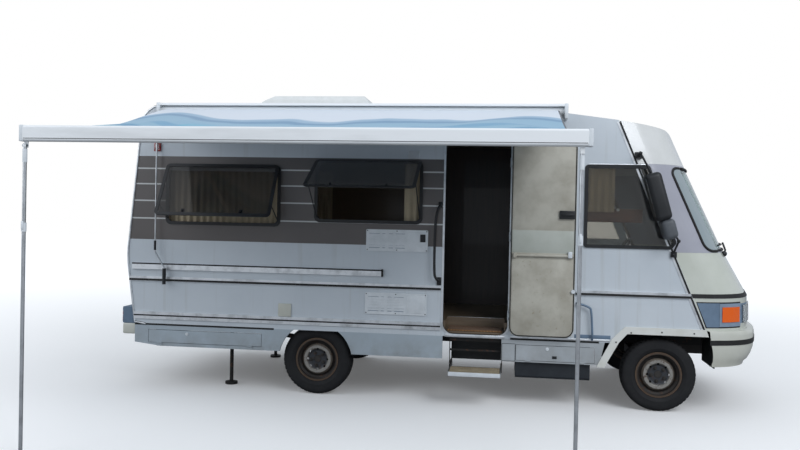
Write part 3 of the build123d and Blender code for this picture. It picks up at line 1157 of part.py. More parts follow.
# The cloth, a shallow arc from the roller to the lead rail
start_y, start_z = roller_y - ROLLER_RADIUS - SEAT_GAP, roller_z
end_y, end_z = lead_y[1] + SEAT_GAP, LEAD_Z + LEAD_HEIGHT - 14
mid_y, mid_z = (start_y + end_y) / 2, (start_z + end_z) / 2 - FABRIC_SAG
cloth_top = [(start_y, start_z), (mid_y, mid_z), (end_y, end_z)]
cloth_low = [(y, z - FABRIC_THICK) for y, z in cloth_top]
arc_top = ThreePointArc(*[(0, y, z) for y, z in cloth_top])
arc_low = ThreePointArc(*[(0, y, z) for y, z in reversed(cloth_low)])
close_end = Line((0, *cloth_top[2]), (0, *cloth_low[2]))
close_start = Line((0, *cloth_low[0]), (0, *cloth_top[0]))
cloth_face = make_face([arc_top, close_end, arc_low, close_start])
cloth = extrude(cloth_face, amount=CASE_FRONT_X - CASE_REAR_X - 2 * FABRIC_INSET, dir=(1, 0, 0))
save("awning_cloth", cloth.moved(Location((CASE_REAR_X + FABRIC_INSET, 0, 0))))

# Crank handle hanging from its eye at the case's rear end
crank_x, crank_y = CASE_REAR_X - 18, -HALF_WIDTH - CRANK_OUT
crank_top, crank_bend = CASE_LOW + 18, 1150
grip_x = crank_x + 95
crank_points = ((CASE_REAR_X - SEAT_GAP, crank_top), (crank_x, crank_top), (crank_x, crank_bend + 150),
                (grip_x, crank_bend))
crank = tube((grip_x, crank_y, crank_bend), (grip_x, crank_y, crank_bend - 160), CRANK_GRIP)
for (x_from, z_from), (x_to, z_to) in zip(crank_points, crank_points[1:]):
    crank = crank + tube((x_from, crank_y, z_from), (x_to, crank_y, z_to), CRANK_RADIUS)
    crank = crank + Pos(x_to, crank_y, z_to) * Sphere(CRANK_RADIUS)
save("awning_crank", crank)

for word, shoulder, elbow, wrist in arm_points:
    print(word, [tuple(round(v, 2) for v in (point + SHIFT)) for point in (shoulder, elbow, wrist)])
print("shift", tuple(round(v, 3) for v in SHIFT))
print("tilt", round(ARM_TILT, 3), "lead front", round(LEAD_FRONT_Y, 1))
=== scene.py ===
# %% [markdown]
# # A camper van with its side awning out
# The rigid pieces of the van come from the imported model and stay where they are. This file gives
# them their finishes and adds what that model leaves plain: cloth, seats, tyres, rubber seals, trims,
# handles, lamps and small fittings. Both bumpers and the leaf of the entry door are made anew, with
# more form. Every new piece rides on the body that carries it on the real van.

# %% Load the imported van
import math

import bpy
from mathutils import Matrix, Vector
from mathutils.bvhtree import BVHTree


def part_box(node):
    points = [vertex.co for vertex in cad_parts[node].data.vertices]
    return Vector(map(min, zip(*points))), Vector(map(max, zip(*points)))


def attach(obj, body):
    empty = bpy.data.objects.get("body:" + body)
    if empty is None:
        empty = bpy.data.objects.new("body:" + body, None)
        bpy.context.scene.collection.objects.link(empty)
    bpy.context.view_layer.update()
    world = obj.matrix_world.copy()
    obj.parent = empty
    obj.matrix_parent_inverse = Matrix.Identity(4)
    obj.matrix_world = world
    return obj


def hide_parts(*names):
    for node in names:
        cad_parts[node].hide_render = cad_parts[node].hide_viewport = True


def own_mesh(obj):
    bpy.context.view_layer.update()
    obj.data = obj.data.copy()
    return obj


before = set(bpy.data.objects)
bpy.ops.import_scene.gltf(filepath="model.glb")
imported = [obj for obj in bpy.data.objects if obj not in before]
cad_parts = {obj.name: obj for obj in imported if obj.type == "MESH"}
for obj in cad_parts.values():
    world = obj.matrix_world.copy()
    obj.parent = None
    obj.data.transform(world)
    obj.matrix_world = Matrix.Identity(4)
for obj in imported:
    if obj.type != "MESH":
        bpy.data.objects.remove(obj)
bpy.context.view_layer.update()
print("pieces in the packed model:", len(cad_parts))

# %% [markdown]
# ## One way to say where things are
# The van is measured in millimetres: x forward from the front axle, y to its left from the middle,
# z up from the ground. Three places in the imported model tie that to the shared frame: the front
# tyre gives the axle, and the roof, which lies between the side walls, gives the middle and the sides.

# %% Measures taken from the frame
WALL = 32.0
tyre_low, tyre_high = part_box("tyre_front_right")
roof_low, roof_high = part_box("roof_panel")
AXLE_X = (tyre_low.x + tyre_high.x) / 2
MIDDLE_Y = (roof_low.y + roof_high.y) / 2
HALF_WIDTH = (roof_high.y - roof_low.y) * 500 + WALL
TYRE_RADIUS = tyre_high.z * 500


def place(x, y, z):
    """A point given in the van's millimetres, in the shared frame's metres."""
    return Vector((AXLE_X + x / 1000, MIDDLE_Y + y / 1000, z / 1000))


print("half width, mm:", round(HALF_WIDTH, 1), "tyre radius, mm:", round(TYRE_RADIUS, 1))

# %% [markdown]
# ## The camera
# The camera stands seven metres from the awning at eye height, almost level and turned slightly. Its
# lens and place come from fitting the van's own corners, so that the render can be laid over the
# photograph.

# %% Camera
CAMERA_PLACE = Vector((0.646, -7.3625, 1.695))
CAMERA_YAW = math.radians(7.64)
CAMERA_PITCH = math.radians(-0.71)
CAMERA_ROLL = math.radians(1.22)
LENS_MM = 36.16


def make_camera():
    """Adds the camera, turned by its yaw and pitch and then rolled."""
    forward = Vector((-math.sin(CAMERA_YAW) * math.cos(CAMERA_PITCH),
                      math.cos(CAMERA_YAW) * math.cos(CAMERA_PITCH), math.sin(CAMERA_PITCH)))
    level = Vector((math.cos(CAMERA_YAW), math.sin(CAMERA_YAW), 0))
    upright = level.cross(forward)
    right = level * math.cos(CAMERA_ROLL) + upright * math.sin(CAMERA_ROLL)
    top = upright * math.cos(CAMERA_ROLL) - level * math.sin(CAMERA_ROLL)
    data = bpy.data.cameras.new("camera")
    data.lens = LENS_MM
    data.sensor_width = 36.0
    camera = bpy.data.objects.new("camera", data)
    bpy.context.scene.collection.objects.link(camera)
    turn = Matrix((right, top, -forward)).transposed().to_4x4()
    camera.matrix_world = Matrix.Translation(CAMERA_PLACE) @ turn
    bpy.context.scene.camera = camera


make_camera()
print("camera at", tuple(CAMERA_PLACE), "with a lens of", LENS_MM, "mm")

# %% [markdown]
# ## Nodes and colours
# Colours are written as the hex values that a paint chart gives, and one function turns them to the
# linear values that the shaders want. One function adds a node: its settings are given by name, and
# an input takes a value, another node, which stands for its first output, or any output.
#
# Four kinds of node do most of the work, and their inputs are given by number. A MixRGB node goes
# from colour 1 to colour 2 as its factor 0 rises. A MapRange node takes value 0 and spreads what
# lies between its bounds 1 and 2 over 0 to 1, or over 3 to 4 where those are given. A Math node works
# on 0 and 1. A Bump node's distance is in metres.

# %% Colour and node helpers
def tint(hex_value):
    """An sRGB hex colour as linear red, green, blue and alpha."""
    channels = [int(hex_value[i:i + 2], 16) / 255 for i in (1, 3, 5)]
    linear = [c / 12.92 if c <= 0.04045 else ((c + 0.055) / 1.055) ** 2.4 for c in channels]
    return (*linear, 1.0)


def add_node(tree, kind, inputs=None, **settings):
    """Adds one node, sets it up, and fills its inputs with values, nodes or other nodes' outputs."""
    made = tree.nodes.new("ShaderNode" + kind)
    for name, value in settings.items():
        setattr(made, name, value)
    for name, value in (inputs or {}).items():
        if isinstance(value, bpy.types.Node):
            value = value.outputs[0]
        if isinstance(value, bpy.types.NodeSocket):
            tree.links.new(value, made.inputs[name])
        else:
            made.inputs[name].default_value = value
    return made


def new_finish(name):
    """An empty material and its node tree."""
    material = bpy.data.materials.new(name)
    material.use_nodes = True
    material.node_tree.nodes.clear()
    return material, material.node_tree


def close_finish(tree, surface):
    """Ends a material: the shader with its inputs goes to the output."""
    shader = add_node(tree, "BsdfPrincipled", surface)
    add_node(tree, "OutputMaterial", {"Surface": shader})


print("mid grey as a linear value:", round(tint("#808080")[0], 3))


# %% [markdown]
# ## Floor and light
# A studio with a pale floor: the camera, also when it looks through glass, sees a white surround,
# while the surfaces are lit by a plain sky and two large soft lamps. White comes from the colour of
# the floor and the world, not from more light on the van.

# %% Stage
FLOOR_SIZE = 80
FLOOR_DROP = 0.0005
GLOW_NEAR, GLOW_FAR = (3.0, 0.10), (14.0, 0.55)
SKY_STRENGTH = 0.66


def seen_by_camera(tree):
    """1 for rays that come from the camera, straight or through glass, else 0."""
    path = add_node(tree, "LightPath")
    rays = {0: path.outputs["Is Camera Ray"], 1: path.outputs["Is Transmission Ray"]}
    return add_node(tree, "Math", rays, operation="MAXIMUM")


def make_stage():
    """The floor: pale to the camera, mid grey to light, and glowing more and more away from the van."""
    bpy.ops.object.select_all(action="DESELECT")
    bpy.ops.mesh.primitive_plane_add(size=FLOOR_SIZE, location=(0, 0, -FLOOR_DROP))
    floor = bpy.context.object
    floor.name = "floor"
    finish, tree = new_finish("studio_floor")
    seen = seen_by_camera(tree)
    colour = add_node(tree, "MixRGB", {0: seen, 1: tint("#8f9092"), 2: tint("#f4f4f3")})
    where = add_node(tree, "TexCoord").outputs["Object"]
    away = add_node(tree, "VectorMath", {0: where}, operation="LENGTH").outputs["Value"]
    spread = {0: away, 1: GLOW_NEAR[0], 2: GLOW_FAR[0], 3: GLOW_NEAR[1], 4: GLOW_FAR[1]}
    glow = add_node(tree, "MapRange", spread)
    glow = add_node(tree, "Math", {0: glow, 1: seen}, operation="MULTIPLY")
    close_finish(tree, {"Base Color": colour, "Roughness": 0.9,
                        "Emission Color": (1, 1, 1, 1), "Emission Strength": glow})
    floor.data.materials.append(finish)

# %% World and lamps
def make_world():
    """A cool, plain sky that the camera sees as white."""
    world = bpy.data.worlds.new("studio")
    bpy.context.scene.world = world
    world.use_nodes = True
    tree = world.node_tree
    tree.nodes.clear()
    light = add_node(tree, "Background", {"Color": tint("#e4ecf6"), "Strength": SKY_STRENGTH})
    white = add_node(tree, "Background", {"Color": (1, 1, 1, 1), "Strength": 1.0})
    mix = add_node(tree, "MixShader", {0: seen_by_camera(tree), 1: light, 2: white})
    add_node(tree, "OutputWorld", {"Surface": mix})


def soft_lamp(name, where, aim, size, power):
    """A square lamp that faces a point."""
    data = bpy.data.lights.new(name, "AREA")
    data.shape = "SQUARE"
    data.size = size
    data.energy = power
    data.color = tint("#f6f9ff")[:3]
    lamp = bpy.data.objects.new(name, data)
    bpy.context.scene.collection.objects.link(lamp)
    lamp.location = where
    lamp.rotation_euler = (Vector(aim) - Vector(where)).to_track_quat("-Z", "Y").to_euler()


make_stage()
make_world()
soft_lamp("key_lamp", (7.0, -9.0, 9.0), (0, 0, 1.2), 7.0, 900)
soft_lamp("fill_lamp", (-9.0, -6.0, 6.0), (0, 0, 1.2), 8.0, 360)
bpy.context.scene.view_settings.view_transform = "Standard"
print("lamps:", len(bpy.data.lights))

# %% [markdown]
# ## Patterns that several finishes share
# Real surfaces are never one flat colour. Three patterns carry most of that: soft clouds, where dirt
# or sunlight has worked unevenly; streaks that run down a wall with the rain; and a fine grain that
# catches the light. Each is sized in millimetres, so it means the same on every piece.

# %% Clouds, streaks and bands
def cloud(tree, size_mm, detail=4.0, stretch=(1, 1, 1)):
    """Soft noise whose blotches are about size_mm wide; stretch squeezes it along x, y or z."""
    where = add_node(tree, "TexCoord").outputs["Object"]
    scaled = add_node(tree, "Mapping", {"Vector": where, "Scale": stretch})
    noise = add_node(tree, "TexNoise", {"Vector": scaled, "Scale": 1000.0 / size_mm,
                                        "Detail": detail, "Roughness": 0.6})
    return noise.outputs["Fac"]


def part_of(tree, axis):
    """One of the object's own coordinates."""
    where = add_node(tree, "TexCoord").outputs["Object"]
    return add_node(tree, "SeparateXYZ", {0: where}).outputs[axis]


def between(tree, value, low, high):
    """1 where the value lies between two bounds, else 0."""
    over = add_node(tree, "Math", {0: value, 1: low}, operation="GREATER_THAN")
    under = add_node(tree, "Math", {0: value, 1: high}, operation="LESS_THAN")
    return add_node(tree, "Math", {0: over, 1: under}, operation="MULTIPLY")


def low_dirt(tree, top_mm, colour, base):
    """Road dirt that thins out upwards from the ground to a height."""
    height = add_node(tree, "MapRange", {0: part_of(tree, "Z"), 1: top_mm / 1000, 2: 0.15})
    patchy = add_node(tree, "MapRange", {0: cloud(tree, 160), 1: 0.35, 2: 0.75})
    amount = add_node(tree, "Math", {0: height, 1: patchy}, operation="MULTIPLY")
    return add_node(tree, "MixRGB", {0: amount, 1: base, 2: tint(colour)})


# %% [markdown]
# ## Coachwork paint
# The walls are white-painted aluminium sheet over a timber frame. The sheet is never quite flat, so
# its reflections wander; rain leaves faint streaks under every fitting; and a taupe band with four
# pale lines runs along both sides. The band is a matter of height only, so it is read from z. Inside,
# the same walls are lined in brown, and behind the doorway the skirts are a little bluer.

# %% Paint for the walls, roof and skirts
BAND_LOW, BAND_HIGH = 1.414, 2.207
BAND_FRONT_MM = -1895.0
BAND_LINES = (1.616, 1.784, 1.943, 2.090)
LINE_HALF = 0.0065
LINING_IN_MM = 6
SKIRT_REAR_MM = (-1880.0, -1890.0)


def coach_paint(name, base_hex, shade_hex, banded=False, dirt_top=0.0):
    """Sprayed sheet; a banded one has the taupe band and a brown lining inside, a dirty one is a skirt."""
    finish, tree = new_finish(name)
    clouds = cloud(tree, 700)
    shaded = add_node(tree, "MapRange", {0: clouds, 1: 0.3, 2: 0.7})
    colour = add_node(tree, "MixRGB", {0: shaded, 1: tint(base_hex), 2: tint(shade_hex)})
    streaks = add_node(tree, "MapRange", {0: cloud(tree, 60, 3.0, (1, 1, 0.05)), 1: 0.58, 2: 0.80})
    faint = add_node(tree, "Math", {0: streaks, 1: 0.35}, operation="MULTIPLY")
    colour = add_node(tree, "MixRGB", {0: faint, 1: colour, 2: tint("#a9aaa4")})
    if banded:
        height = part_of(tree, "Z")
        band = between(tree, height, BAND_LOW, BAND_HIGH)
        rearward = between(tree, part_of(tree, "X"), -10.0, place(BAND_FRONT_MM, 0, 0).x)
        band = add_node(tree, "Math", {0: band, 1: rearward}, operation="MULTIPLY")
        taupe = add_node(tree, "MixRGB", {0: clouds, 1: tint("#55514f"), 2: tint("#66605d")})
        for line in BAND_LINES:
            pale = between(tree, height, line - LINE_HALF, line + LINE_HALF)
            taupe = add_node(tree, "MixRGB", {0: pale, 1: taupe, 2: tint("#c9cbc9")})
        colour = add_node(tree, "MixRGB", {0: band, 1: colour, 2: taupe})
        inside = (HALF_WIDTH - LINING_IN_MM) / 1000
        lined = between(tree, part_of(tree, "Y"), MIDDLE_Y - inside, MIDDLE_Y + inside)
        colour = add_node(tree, "MixRGB", {0: lined, 1: colour, 2: tint("#6f5f4c")})
    if dirt_top:
        start, end = (place(x, 0, 0).x for x in SKIRT_REAR_MM)
        behind = add_node(tree, "MapRange", {0: part_of(tree, "X"), 1: start, 2: end})
        colour = add_node(tree, "MixRGB", {0: behind, 1: colour, 2: tint("#a9b5bd")})
        colour = low_dirt(tree, dirt_top, "#6d6557", colour)
    wave = cloud(tree, 450, 1.0)
    wave = add_node(tree, "Bump", {"Height": wave, "Distance": 0.002, "Strength": 0.5})
    close_finish(tree, {"Base Color": colour, "Roughness": 0.34, "IOR": 1.5, "Coat Weight": 0.25,
                        "Coat Roughness": 0.12, "Normal": wave})
    return finish


wall_paint = coach_paint("banded_coach_paint", "#cdd4d9", "#c3cbd1", banded=True)
roof_paint = coach_paint("roof_coach_paint", "#d9dcdc", "#cfd3d3")
door_paint = coach_paint("driver_door_paint", "#cdd4d9", "#c3cbd1")
# The skirts get a darker, greyer paint than the walls: painted shade from the awning over them.
skirt_paint = coach_paint("skirt_paint", "#b3b9bd", "#a3a9ac", dirt_top=640)
print("sheet paints:", [paint.name for paint in (wall_paint, roof_paint, door_paint, skirt_paint)])

# %% [markdown]
# ## Moulded front and bumpers
# The dome over the cab and the nose are glass-fibre mouldings with a cream gel coat: thick, glossy,
# a little yellowed, with fine brown dirt in the low parts. The posts beside the windscreen are
# sprayed lavender grey.

# %% Gel coats
def gel_coat(name, base_hex, aged_hex, roughness=0.22, dirt_top=0.0):
    """A glossy moulded skin with a slight ripple and brown specks."""
    finish, tree = new_finish(name)
    aged = add_node(tree, "MapRange", {0: cloud(tree, 380), 1: 0.3, 2: 0.72})
    colour = add_node(tree, "MixRGB", {0: aged, 1: tint(base_hex), 2: tint(aged_hex)})
    specks = add_node(tree, "MapRange", {0: cloud(tree, 9, 2.0), 1: 0.70, 2: 0.78})
    faint = add_node(tree, "Math", {0: specks, 1: 0.4}, operation="MULTIPLY")
    colour = add_node(tree, "MixRGB", {0: faint, 1: colour, 2: tint("#8b8271")})
    if dirt_top:
        colour = low_dirt(tree, dirt_top, "#76694f", colour)
    ripple = cloud(tree, 260, 1.0)
    ripple = add_node(tree, "Bump", {"Height": ripple, "Distance": 0.0012, "Strength": 0.5})
    close_finish(tree, {"Base Color": colour, "Roughness": roughness, "IOR": 1.52, "Coat Weight": 0.5,
                        "Coat Roughness": 0.06, "Normal": ripple})
    return finish


dome_gel = gel_coat("cream_gel_coat", "#dedfdd", "#d2d3cf")
nose_gel = gel_coat("nose_gel_coat", "#cdd0c6", "#c0c4b8")
post_paint = gel_coat("lavender_grey_paint", "#a9aab3", "#9e9fa9", 0.3)
bumper_gel = gel_coat("bumper_moulding", "#cdcec4", "#bdbeb2", 0.35, dirt_top=520)
print("mouldings:", [coat.name for coat in (dome_gel, nose_gel, post_paint, bumper_gel)])

# %% [markdown]
# ## Metals
# Trims, awning and step are aluminium. Bare anodised strip shows fine drawn lines along its length;
# the awning profiles are coated white and only slightly metallic to the eye. Chassis parts are black
# painted steel with rust coming through. A wheel changes its paint with the distance from its axle,
# and the trim round the front wheel arches is cream.

# %% Aluminium and steel
def drawn_aluminium(name, hex_value, roughness, direction):
    """Anodised strip with drawing lines 2 mm apart, coarser than real so that they show."""
    finish, tree = new_finish(name)
    lines = cloud(tree, 2.0, 2.0, direction)
    lines = add_node(tree, "Bump", {"Height": lines, "Distance": 0.00015, "Strength": 0.6})
    dulled = add_node(tree, "MapRange", {0: cloud(tree, 120), 1: 0.45, 2: 0.9})
    colour = add_node(tree, "MixRGB", {0: dulled, 1: tint(hex_value), 2: tint("#9b9ea0")})
    close_finish(tree, {"Base Color": colour, "Metallic": 1.0, "Roughness": roughness, "Normal": lines})
    return finish


def coated_aluminium(name, hex_value, grime_hex):
    """White stoved coating on an extrusion, with grime along it."""
    finish, tree = new_finish(name)
    grime = add_node(tree, "MapRange", {0: cloud(tree, 240, 5.0, (0.15, 1, 1)), 1: 0.55, 2: 0.85})
    faint = add_node(tree, "Math", {0: grime, 1: 0.45}, operation="MULTIPLY")
    colour = add_node(tree, "MixRGB", {0: faint, 1: tint(hex_value), 2: tint(grime_hex)})
    ripple = cloud(tree, 30, 2.0)
    ripple = add_node(tree, "Bump", {"Height": ripple, "Distance": 0.0003, "Strength": 0.3})
    close_finish(tree, {"Base Color": colour, "Roughness": 0.32, "IOR": 1.5, "Coat Weight": 0.2,
                        "Normal": ripple})
    return finish

# %% Rusty steel and worn wheels
def rusty_steel(name, paint_hex, rust_hex, rust_from):
    """Painted steel: rust shows where the cloud rises over rust_from."""
    finish, tree = new_finish(name)
    patches = add_node(tree, "MapRange", {0: cloud(tree, 55, 6.0), 1: rust_from, 2: rust_from + 0.12})
    deep = add_node(tree, "MixRGB", {0: cloud(tree, 14), 1: tint(rust_hex), 2: tint("#3a2519")})
    colour = add_node(tree, "MixRGB", {0: patches, 1: tint(paint_hex), 2: deep})
    raised = add_node(tree, "Bump", {"Height": patches, "Distance": 0.0006, "Strength": 0.7})
    close_finish(tree, {"Base Color": colour, "Roughness": 0.6, "Metallic": 0.15, "Normal": raised})
    return finish


AXLES = {"front": 0.0, "rear": -3100.0}
WHEEL_BANDS = (
    # from this radius outwards, in mm, the paint has this colour
    (0, "#17181a"), (34, "#34363a"), (92, "#5d5a55"), (100, "#8f8c86"), (128, "#6a6259"), (142, "#231f1c"),
    (166, "#2f2b28"), (184, "#4d3f33"), (196, "#5e4a38"),
)


def wheel_paint(name):
    """Worn steel wheel: its colour goes by the distance from the nearest axle."""
    finish, tree = new_finish(name)
    where = add_node(tree, "TexCoord").outputs["Object"]
    reach = []
    for x in AXLES.values():
        axle = place(x, 0, TYRE_RADIUS)
        flat = add_node(tree, "VectorMath", {0: where, 1: (1, 0, 1)}, operation="MULTIPLY")
        away = add_node(tree, "VectorMath", {0: flat, 1: (axle.x, 0, axle.z)}, operation="DISTANCE")
        reach.append(away.outputs["Value"])
    radius = add_node(tree, "Math", {0: reach[0], 1: reach[1]}, operation="MINIMUM")
    uneven = add_node(tree, "Math", {0: cloud(tree, 30, 4.0), 1: 0.010}, operation="MULTIPLY")
    radius = add_node(tree, "Math", {0: radius, 1: uneven}, operation="ADD")
    colour = tint(WHEEL_BANDS[0][1])
    for start, hex_value in WHEEL_BANDS[1:]:
        beyond = add_node(tree, "MapRange", {0: radius, 1: (start + 4) / 1000, 2: (start + 8) / 1000})
        colour = add_node(tree, "MixRGB", {0: beyond, 1: colour, 2: tint(hex_value)})
    rust = add_node(tree, "MapRange", {0: cloud(tree, 26, 6.0), 1: 0.56, 2: 0.68})
    faint = add_node(tree, "Math", {0: rust, 1: 0.75}, operation="MULTIPLY")
    colour = add_node(tree, "MixRGB", {0: faint, 1: colour, 2: tint("#4a3120")})
    raised = add_node(tree, "Bump", {"Height": rust, "Distance": 0.0005, "Strength": 0.6})
    close_finish(tree, {"Base Color": colour, "Roughness": 0.55, "Metallic": 0.2, "Normal": raised})
    return finish

# %% Trim strips, and all the metals
ARCH_TRIM_TOP = 0.760
ARCH_TRIM_REAR_MM = -552.0


def trim_strips(name):
    """Bright strips, but the trims round the front arches are painted cream."""
    finish, tree = new_finish(name)
    low = between(tree, part_of(tree, "Z"), 0.0, ARCH_TRIM_TOP)
    fore = between(tree, part_of(tree, "X"), place(ARCH_TRIM_REAR_MM, 0, 0).x, 10.0)
    arch = add_node(tree, "Math", {0: low, 1: fore}, operation="MULTIPLY")
    dulled = add_node(tree, "MapRange", {0: cloud(tree, 120), 1: 0.45, 2: 0.9})
    bright = add_node(tree, "MixRGB", {0: dulled, 1: tint("#eceff1"), 2: tint("#9b9ea0")})
    aged = add_node(tree, "MapRange", {0: cloud(tree, 150), 1: 0.4, 2: 0.75})
    cream = add_node(tree, "MixRGB", {0: aged, 1: tint("#dedfd9"), 2: tint("#cfcfc6")})
    colour = add_node(tree, "MixRGB", {0: arch, 1: bright, 2: cream})
    lines = cloud(tree, 2.0, 2.0, (0.02, 1, 1))
    lines = add_node(tree, "Bump", {"Height": lines, "Distance": 0.00015, "Strength": 0.6})
    metal = add_node(tree, "Math", {0: 1.0, 1: arch}, operation="SUBTRACT")
    close_finish(tree, {"Base Color": colour, "Metallic": metal, "Roughness": 0.38, "Normal": lines})
    return finish


strip_aluminium = drawn_aluminium("anodised_strip", "#eceff1", 0.38, (0.02, 1, 1))
step_aluminium = drawn_aluminium("ribbed_step_plate", "#b9bbba", 0.45, (1, 0.02, 1))
awning_white = coated_aluminium("white_coated_aluminium", "#e8ebec", "#9b9d9b")
leg_aluminium = drawn_aluminium("awning_leg_tube", "#d5d8da", 0.3, (1, 1, 0.02))
chassis_black = rusty_steel("black_chassis_paint", "#1c1b1a", "#5a3823", 0.56)
wheel_rust = wheel_paint("worn_wheel_paint")
trim_finish = trim_strips("side_trim_strips")
iron = rusty_steel("cast_iron", "#33302d", "#4c3526", 0.60)
print("materials after the metals:", len(bpy.data.materials))

# %% [markdown]
# ## Plastics, rubber and lenses
# Mouldings are dyed right through and have a fine grain from the mould. Window rubber and tyres are
# matt black. Lamp lenses are clear acrylic with ribs on the inside.

# %% Plastics, rubber and lenses
LENS_RIB_MM = 14.0
# Half a wave of a wave texture at scale 1, nearly: the width of one rib or thread
HALF_WAVE_MM = 1000.0 / 6.28


def moulded_plastic(name, hex_value, worn_hex, roughness=0.5, grain_mm=2.5):
    """Plastic or rubber from a mould, paler where it is worn."""
    finish, tree = new_finish(name)
    worn = add_node(tree, "MapRange", {0: cloud(tree, 90), 1: 0.35, 2: 0.75})
    colour = add_node(tree, "MixRGB", {0: worn, 1: tint(hex_value), 2: tint(worn_hex)})
    grain = cloud(tree, grain_mm, 2.0)
    grain = add_node(tree, "Bump", {"Height": grain, "Distance": 0.0002, "Strength": 0.4})
    close_finish(tree, {"Base Color": colour, "Roughness": roughness, "IOR": 1.49, "Normal": grain})
    return finish


def lamp_lens(name, hex_value, clear=0.55):
    """Acrylic lens with ribs; clear is the share of light that it lets through."""
    finish, tree = new_finish(name)
    where = add_node(tree, "TexCoord").outputs["Object"]
    ribs = add_node(tree, "TexWave", {"Vector": where, "Scale": HALF_WAVE_MM / LENS_RIB_MM},
                    wave_type="BANDS", bands_direction="DIAGONAL")
    raised = add_node(tree, "Bump", {"Height": ribs.outputs["Fac"], "Distance": 0.0012, "Strength": 0.6})
    close_finish(tree, {"Base Color": tint(hex_value), "Roughness": 0.12, "IOR": 1.49,
                        "Transmission Weight": clear, "Coat Weight": 0.6,
                        "Normal": raised})
    return finish


dark_frame = moulded_plastic("window_frame_plastic", "#17181a", "#232527", 0.42)
dark_plastic = moulded_plastic("black_moulded_plastic", "#151719", "#202225", 0.48)
white_plastic = moulded_plastic("white_moulded_plastic", "#dde2e5", "#cdd3d6", 0.42)
seal_rubber = moulded_plastic("window_rubber", "#121212", "#1f1f1f", 0.65)
grille_plastic = moulded_plastic("blue_grey_moulding", "#6a7f94", "#5e7184", 0.5)
tank_plastic = moulded_plastic("tank_plastic", "#1b2026", "#272c31", 0.5)
hatch_plastic = moulded_plastic("hatch_dome_plastic", "#e4e6e4", "#d9dbd8", 0.3)
tyre_rubber = moulded_plastic("tyre_rubber", "#101114", "#1d1d1e", 0.8, 6.0)
orange_lens = lamp_lens("orange_lens", "#f06400", clear=0.02)
red_lens = lamp_lens("red_lens", "#b3160f")
clear_lens = lamp_lens("clear_lens", "#dfe4e6", clear=0.8)
print("lenses:", [lens.name for lens in (orange_lens, red_lens, clear_lens)])

# %% [markdown]
# ## Glass and acrylic
# The windscreen has a pale grey-green tint and bends light little, so that it mirrors less of the
# white studio. The side windows are acrylic panes with a dark tint, clearer over the cab. All are
# real sheets here, so they transmit and reflect at once; a slight waviness softens what they mirror.

# %% Window materials
CAB_PANE_MM = (-720.0, -700.0)


def pane_material(name, tint_hex, wave_mm, roughness=0.02, ior=1.49, cab_hex=None):
    """A clear sheet with a tint and slight waves; a second tint is for the cab's pane."""
    finish, tree = new_finish(name)
    colour = tint(tint_hex)
    if cab_hex:
        start, end = (place(x, 0, 0).x for x in CAB_PANE_MM)
        in_cab = add_node(tree, "MapRange", {0: part_of(tree, "X"), 1: start, 2: end})
        colour = add_node(tree, "MixRGB", {0: in_cab, 1: colour, 2: tint(cab_hex)})
    smears = add_node(tree, "MapRange", {0: cloud(tree, 240, 4.0), 1: 0.45, 2: 0.8})
    rough = add_node(tree, "MapRange", {0: smears, 3: roughness, 4: roughness + 0.07})
    waves = cloud(tree, 300, 1.0)
    waves = add_node(tree, "Bump", {"Height": waves, "Distance": wave_mm / 1000, "Strength": 0.3})
    close_finish(tree, {"Base Color": colour, "Roughness": rough, "IOR": ior, "Transmission Weight": 1.0,
                        "Normal": waves})
    return finish


screen_glass = pane_material("windscreen_glass", "#b4c4c6", 0.1, ior=1.22)
cab_glass = pane_material("cab_glass", "#b9bab6", 0.3)
tinted_pane = pane_material("tinted_acrylic_pane", "#8d8b8a", 1.5, 0.04, cab_hex="#b4b2ac")
print("panes:", [pane.name for pane in (screen_glass, cab_glass, tinted_pane)])

# %% [markdown]
# ## Wood, cloth and the door liner
# Cupboards and bulkheads are ply with a brown veneer, whose grain runs upwards. Cloth is woven: a
# fine cross of threads, drawn coarser than life so that it shows. The inside of the entry door is a
# cream plastic liner with old stains and one newer strip; its outside is painted like the wall.

# %% Wood and cloth
def veneer(name, light_hex, dark_hex, grain=(1, 1, 0.06)):
    """Wood with its grain drawn out along one direction."""
    finish, tree = new_finish(name)
    rings = cloud(tree, 22, 6.0, grain)
    darker = add_node(tree, "MapRange", {0: rings, 1: 0.35, 2: 0.68})
    colour = add_node(tree, "MixRGB", {0: darker, 1: tint(light_hex), 2: tint(dark_hex)})
    grooves = add_node(tree, "Bump", {"Height": rings, "Distance": 0.0003, "Strength": 0.4})
    close_finish(tree, {"Base Color": colour, "Roughness": 0.4, "IOR": 1.5, "Coat Weight": 0.2,
                        "Normal": grooves})
    return finish


def woven_cloth(name, warp_hex, weft_hex, thread_mm=3.0, sheen=0.3):
    """Cloth whose threads cross, each as wide as thread_mm."""
    finish, tree = new_finish(name)
    where = add_node(tree, "TexCoord").outputs["Object"]
    threads = []
    for direction in ("X", "Z"):
        wave = add_node(tree, "TexWave", {"Vector": where, "Scale": HALF_WAVE_MM / thread_mm,
                                          "Distortion": 1.5, "Detail": 1.0},
                        wave_type="BANDS", bands_direction=direction)
        threads.append(wave.outputs["Fac"])
    cross = add_node(tree, "Math", {0: threads[0], 1: threads[1]}, operation="MULTIPLY")
    colour = add_node(tree, "MixRGB", {0: cross, 1: tint(warp_hex), 2: tint(weft_hex)})
    faded = add_node(tree, "MapRange", {0: cloud(tree, 150), 1: 0.4, 2: 0.8})
    colour = add_node(tree, "MixRGB", {0: faded, 1: colour, 2: tint(warp_hex)})
    raised = add_node(tree, "Bump", {"Height": cross, "Distance": 0.0006, "Strength": 0.6})
    close_finish(tree, {"Base Color": colour, "Roughness": 0.85, "Sheen Weight": sheen,
                        "Sheen Roughness": 0.4, "Normal": raised})
    return finish

# %% Door liner, and all the interior finishes
LINER_STRIP = (1.385, 1.585)
LINER_FOOT = 0.5
DOOR_SKIN_MM = (-1131.0, -1128.0)


